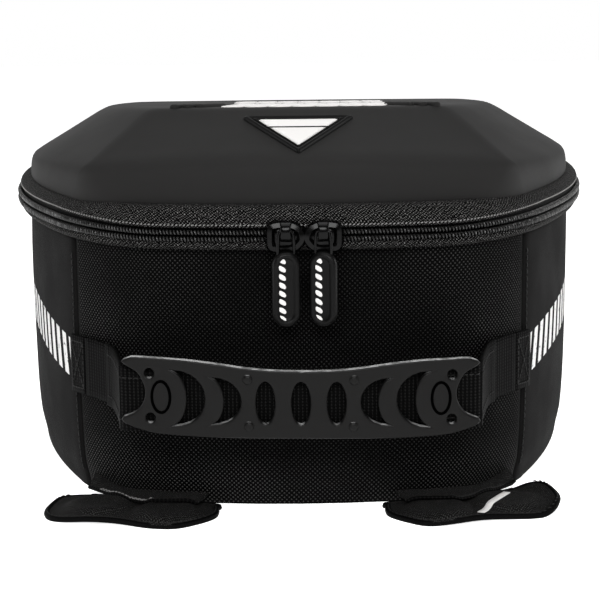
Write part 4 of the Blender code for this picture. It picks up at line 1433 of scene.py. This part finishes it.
def make_strap():
    line = strap_line()
    lengths = line_lengths(line)
    levels = strap_levels(STRAP_HALF, 8)
    rows = []
    for step, level in enumerate(levels):
        row = []
        for index, point in enumerate(line):
            bow = 0.0004 * sin(lengths[index] * 60.0) * (step - 4) / 4
            row.append(point + Vector((0.0, bow, STRAP_HEIGHT - strap_drop(point) + level)))
        rows.append(row)
    piece = sheet_piece("carry_strap", rows, lengths, levels, None, WEBBING, "webbing")
    thicken(piece, STRAP_THICKNESS, 0.0)
    freeze(piece)
    anchor = plan_point(BAG, HANDLE_HEADING, CASE_INSET)
    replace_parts(piece, "handle_webbing")
    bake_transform(piece)
    for side, label in ((-1.0, "left"), (1.0, "right")):
        fold_strap(side, label)
        sewn_end(side, label)


def fold_strap(side, label):
    """The second layer of webbing, folded back where it enters the grip."""
    line = [point for point in strap_line() if 0.0560 < side * point.x < 0.0840]
    line = line if side > 0 else line[::-1]
    lengths = line_lengths(line)
    levels = strap_levels(STRAP_HALF + 0.0008, 6)
    rows = [[point + Vector((0.0, -0.0017, STRAP_HEIGHT - strap_drop(point) + level)) for point in line]
            for level in levels]
    if side < 0:
        rows = [row[::-1] for row in rows]
    piece = sheet_piece("strap_fold_" + label, rows, lengths, levels, "handle", WEBBING, "webbing")
    thicken(piece, 0.0014, 0.0)
    seats = []
    for row in (rows[1], rows[-2]):
        for low, high in zip(row[1:-1], row[2:]):
            tangent = (high - low).normalized()
            out = tangent.cross(UPWARD)
            seats.append((low + out * 0.0008, tangent, out))
    stitches("strap_fold_thread_" + label, seats, 0.0021, 0.00026, "handle", DARK_THREAD)


def sewn_end(side, label):
    """The webbing's end, boxed and crossed with stitches on the wall."""
    start = HANDLE_HEADING + 0.6
    stop = start + degrees(STRAP_END_LENGTH / BAG_RADII[1])
    headings = [side * (start + (stop - start) * step / 6) for step in range(7)]
    headings = headings if side > 0 else headings[::-1]
    lengths = [arc_length(heading) for heading in headings]
    levels = strap_levels(STRAP_HALF, 8)
    inset = CASE_INSET - 0.0010
    rows = [[bag_point(heading, inset, STRAP_HEIGHT + level) for heading in headings] for level in levels]
    piece = sheet_piece("strap_end_" + label, rows, lengths, levels, "case", WEBBING, "webbing")
    thicken(piece, 0.0018, 1.0)
    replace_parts(piece, "handle_patch_" + label)

    def spot(share, level):
        heading = side * (start + (stop - start) * share)
        return bag_point(heading, inset - 0.0019, STRAP_HEIGHT + level), heading

    corners = ((0.10, -SEWN_HALF), (0.86, -SEWN_HALF), (0.86, SEWN_HALF), (0.10, SEWN_HALF))
    runs = [(corners[k], corners[(k + 1) % 4]) for k in range(4)]
    runs += [(corners[0], corners[2]), (corners[1], corners[3])]
    seats = []
    for (share_a, level_a), (share_b, level_b) in runs:
        reach_a, reach_b = share_b - share_a, level_b - level_a
        count = max(3, int(hypot(reach_a * STRAP_END_LENGTH, reach_b) / 0.0024))
        for step in range(count):
            t = (step + 0.5) / count
            point, heading = spot(share_a + reach_a * t, level_a + reach_b * t)
            t += 0.02
            ahead, _ = spot(share_a + reach_a * t, level_a + reach_b * t)
            seats.append((point, (ahead - point).normalized(), outward(heading)))
    stitches("strap_end_thread_" + label, seats, 0.0020, 0.00026, "case", DARK_THREAD)


# ---------------------------------------------------------------- magnet flaps

FLAP_SHAPE = ((-0.0280, 0.0016), (-0.0325, 0.0060), (-0.0352, 0.0170), (-0.0300, 0.0290), (-0.0240, 0.0355),
              (-0.0130, 0.0375), (0.0000, 0.0370), (0.0130, 0.0385), (0.0230, 0.0400), (0.0310, 0.0385),
              (0.0365, 0.0320), (0.0392, 0.0220), (0.0398, 0.0110), (0.0350, 0.0060), (0.0270, 0.0030),
              (0.0240, 0.0016))
MAGNET_SPOTS = ((-0.0160, 0.0224), (0.0160, 0.0224))
# The flap's edge nearer the bag than this lies under the strap cloth.
HIDDEN_EDGE = 0.0065
# The binding from the cover round the edge to the base, as (inset, height).
BINDING_SECTION = ((0.0019, 0.0020), (0.0006, 0.0019), (-0.0002, 0.0015), (-0.0004, 0.0008),
                   (-0.0002, 0.0001), (0.0016, 0.0000))
NECK_INNER = -0.0250
NECK_BACK = -0.0100
NECK_WIDTH = 0.0550
NECK_ROWS = 9
NECK_COLUMNS = 14


def flap_frame(heading, outer):
    """Points of a flap from measures across (positive to the outer side), outward and up."""
    root = bag_point(heading, 0.0100, 0.0)
    right = along(heading) * outer
    out = outward(heading)

    def place(s, t, height):
        return root + right * s + out * t + Vector((0.0, 0.0, height))
    return place


def flap_waves(curl, phase):
    """The height of a flap's cloth above the ground: slow waves, and one corner that may curl up."""
    def lift(s, t):
        edge = max(0.0, (t - 0.026) / 0.014)
        wave = 0.0012 * edge * (1.0 + sin(s * 120.0 + phase)) / 2
        corner = max(0.0, (s - 0.0240) / 0.0160)
        return wave + curl * corner * corner * (3.0 - 2.0 * min(1.0, corner)) * 0.5
    return lift


def magnet_swell(s, t):
    """How far the cover stands up over the magnets sewn inside."""
    near = min(hypot(s - spot_s, t - spot_t) for spot_s, spot_t in MAGNET_SPOTS)
    return 0.0021 * smooth_step(0.0160 - near, 0.0, 0.0055)


def make_flap(label, heading, outer, curl, phase, hem_thread, striped=False):
    """A padded flap of two cloths with a bound and stitched edge, and the neck that holds it."""
    place = flap_frame(heading, outer)
    lift = flap_waves(curl, phase)
    body = "flap_" + label
    outline = smooth_line(FLAP_SHAPE, 0.0022, closed=True)[:-1]
    outline = outline[::-1] if outer > 0 else outline
    turns = [a[0] * b[1] - b[0] * a[1] for a, b in zip(outline, np.roll(outline, -1, axis=0))]

    def top(s, t, share):
        puff = 0.0014 * (1.0 - share ** 4)
        return place(s, t, 0.0010 + puff + lift(s, t) + magnet_swell(s, t))

    def bottom(s, t, share):
        return place(s, t, 0.0002 + lift(s, t))

    name = "flap_top_" + label
    cover = new_piece(name, radial_mesh(name, outline[::-1], top, 16), body, FLAP_CLOTH, "flap_cloth")
    thicken(cover, 0.0006, 1.0)
    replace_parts(cover, "flap_cover_" + label)
    name = "flap_bottom_" + label
    under = new_piece(name, radial_mesh(name, outline, bottom, 10), body, FLAP_CLOTH, "flap_cloth")
    thicken(under, 0.0008)
    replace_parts(under, "flap_base_" + label)

    centre = outline.mean(axis=0)
    rows = []
    for inset, height in BINDING_SECTION:
        row = []
        for point in outline:
            s, t = point
            x, y = point + (centre - point) / np.linalg.norm(centre - point) * inset
            row.append(place(x, y, height + lift(s, t)))
        rows.append(row)
    loop = np.concatenate([outline, outline[:1]])
    binding = sheet_piece("flap_binding_" + label, rows if outer > 0 else rows[::-1], line_lengths(loop),
                          line_lengths(BINDING_SECTION), body, ZIP_TAPE, "flap_cloth", closed=True)
    thicken(binding, 0.0004, 0.0)
    seats = []
    loop = even_line(loop, 0.0026)
    for low, high in zip(loop[:-1], loop[1:]):
        if low[1] < HIDDEN_EDGE:
            continue
        s, t = low + (centre - low) / np.linalg.norm(centre - low) * 0.0009
        tangent = (place(*high, 0.0) - place(*low, 0.0)).normalized()
        seats.append((place(s, t, 0.0023 + lift(*low)), tangent, UPWARD))
    stitches("flap_thread_" + label, seats, 0.0019, 0.00024, body, DARK_THREAD)
    flap_neck(label, place, outer, body, lift, hem_thread)
    if striped:
        flap_stripe(label, place, body, lift)


def flap_neck(label, place, outer, body, lift, hem_thread):
    """The strap cloth from under the bag to the flap, its hem folded and stitched."""
    def lying(s, t):
        return lift(s, t) + magnet_swell(s, t) + 0.0036

    rows, up = [], []
    for row in range(NECK_ROWS + 1):
        share = row / NECK_ROWS
        line = []
        for column in range(NECK_COLUMNS + 1):
            s = NECK_INNER + NECK_WIDTH * column / NECK_COLUMNS
            t = NECK_BACK + (hem_reach(s) - NECK_BACK) * share
            rise = max(lying(s, t), 0.0042 + 0.0018 * max(0.0, 1.0 - share * 2.2))
            rise += 0.0034 * smooth_step(s, 0.0150, 0.0290) * (1.0 - smooth_step(share, 0.45, 0.95))
            line.append(place(s, t, rise + 0.0006 * sin(column * 1.3) * share * (1.0 - share)))
        rows.append(line)
        up.append(0.022 * share)
    across = [NECK_WIDTH * column / NECK_COLUMNS for column in range(NECK_COLUMNS + 1)]
    if outer > 0:
        rows, up = rows[::-1], up[::-1]
    piece = sheet_piece("flap_neck_" + label, rows, across, up, None, FLAP_CLOTH, "flap_cloth")
    thicken(piece, 0.0010, 0.0)
    freeze(piece)
    tuple(place(0.0, 0.0005, 0.0006))
    tuple(place(0.0, 0.0045, 0.0006))
    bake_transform(piece)

    def hem_place(s, offset, above):
        t = hem_reach(s) + offset
        return place(s, t, max(lying(s, t), 0.0042) + above)

    hem = [hem_place(NECK_INNER + NECK_WIDTH * step / 24, -0.0004, 0.0002) for step in range(25)]
    hem = tube_mesh("flap_hem_" + label, [hem], 0.00085)
    new_piece("flap_hem_" + label, hem, body, WEBBING, "flap_cloth")
    seats = []
    for offset, above in ((-0.0004, 0.0010), (-0.0026, 0.0006)):
        line = [(s, hem_reach(s) + offset) for s in [-0.0060 + 0.0300 * k / 30 for k in range(31)]]
        points = [hem_place(s, offset, above) for s, _ in even_line(line, 0.0022)]
        seats += [(a, (b - a).normalized(), UPWARD) for a, b in zip(points, points[1:])]
    stitches("flap_hem_thread_" + label, seats, 0.0018, 0.00028, body, hem_thread)


def flap_stripe(label, place, body, lift):
    """A plain light stripe woven across the flap."""
    rows = []
    for offset in (-0.0011, -0.0004, 0.0004, 0.0011):
        row = []
        for step in range(13):
            share = step / 12
            s = 0.0190 - 0.0200 * share + offset
            t = 0.0166 + 0.0180 * share + offset
            lying = lift(s, t) + magnet_swell(s, t)
            row.append(place(s, t, 0.0033 - 0.0005 * share ** 3 + lying))
        rows.append(row)
    piece = sheet_piece("flap_stripe_" + label, rows, line_lengths(rows[0]),
                        (0.0, 0.0015, 0.0030, 0.0045), body, PRINT, "print_white")
    thicken(piece, 0.0004, 0.0)


def hem_reach(s):
    """How far out the strap cloth's hem lies on the flap, nearer the bag on the outer side."""
    share = (0.0250 - s) / 0.0500
    return 0.0040 + 0.0135 * sin(min(1.0, share * 1.45) * pi / 2) - 0.0050 * max(0.0, share - 0.69) / 0.31


def make_flaps():
    make_flap("front_left", -FLAP_HEADING, -1.0, 0.0, 0.6, THREAD)
    make_flap("front_right", FLAP_HEADING, 1.0, 0.0090, 2.1, DARK_THREAD, striped=True)
    make_flap("rear_right", 180.0 - FLAP_HEADING, -1.0, 0.0, 1.4, DARK_THREAD)
    make_flap("rear_left", FLAP_HEADING - 180.0, 1.0, 0.0, 3.0, DARK_THREAD)


# ---------------------------------------------------------------- inside and rear

def make_inside():
    """Lined cup of the case with its bound rim, and the strip of cloth that hinges the lid."""
    top = CHAIN_MIDDLE - 0.0018
    profile = smooth_line(((0.0200, 0.0096), (0.0150, 0.0105), (0.0130, 0.0150), (0.0128, 0.0600),
                           (0.0128, top)), 0.0040)
    headings, lengths = plan_run(-180.0, 180.0, 0.0045)
    up = line_lengths(profile)
    rows = []
    for (inset, height), level in zip(profile, up):
        fade = edge_fade(level, 0.0, up[-1], 0.025)
        row = []
        for heading, length in zip(headings[:-1], lengths):
            push = 0.0004 * fade * (1.0 + ripple(length * 1.7, level * 1.3))
            row.append(zip_point(heading, inset + push, height))
        rows.append(row)
    floor_rows = [[Vector((point.x * share, point.y * share, 0.0095)) for point in rows[0]]
                  for share in (0.15, 0.4, 0.7, 0.97)]
    rows = floor_rows + rows
    up = [-0.13, -0.09, -0.045, -0.004] + list(up)
    piece = sheet_piece("case_lining", rows, lengths, up, "case", LINING, "lining", closed=True)
    fill_hole(piece.data, lambda point: point.z < 0.02)
    thicken(piece, 0.0006, 0.0)
    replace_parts(piece, "body_liner")
    rim = ((0.0136, top - 0.0070), (0.0138, top - 0.0010), (0.0126, top + 0.0008), (0.0106, top + 0.0009),
           (0.0090, top - 0.0006), (0.0088, top - 0.0060))
    band("rim_binding", rim, "case", ZIP_TAPE, "zip_tape", None, 0.0004)
    hinge_strip()


def hinge_strip():
    """Doubled cloth across the rear that the lid folds on."""
    headings, lengths = rear_run(ZIP_END_HEADING, 0.0040)
    section = smooth_line(((0.0060, CASE_TOP + 0.0024), (0.0030, LOWER_TRIM_TOP - 0.0010),
                           (0.0022, CHAIN_MIDDLE), (0.0030, UPPER_TRIM_LOW + 0.0010),
                           (0.0058, UPPER_TRIM_TOP - 0.0030)), 0.0008)
    rows = [[bag_point(heading, inset, height) for heading in headings] for inset, height in section]
    up = line_lengths(section)
    piece = sheet_piece("rear_hinge_cloth", rows, lengths, up, None, TRIM, "band_weave")
    thicken(piece, 0.0008)
    freeze(piece)
    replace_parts(piece, "upper_hinge_leaf", "lower_hinge_leaf")
    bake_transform(piece)


make_studio()
make_case()
make_band()
make_lid()
make_badge()
make_crown()
make_sliders()
make_strap()
make_grip()
make_flaps()
make_inside()


# ---------------------------------------------------------------- carried-over parts

def dress(nodes, material):
    """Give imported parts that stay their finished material."""
    for node in nodes:
        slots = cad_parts[node].data.materials
        for index in range(len(slots)):
            slots[index] = material


dress(["wall_stiffener", "floor_board"], FOAM)
dress(["base_pad"], PAD_RUBBER)
dress([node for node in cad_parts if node.startswith("magnet_")], STEEL)
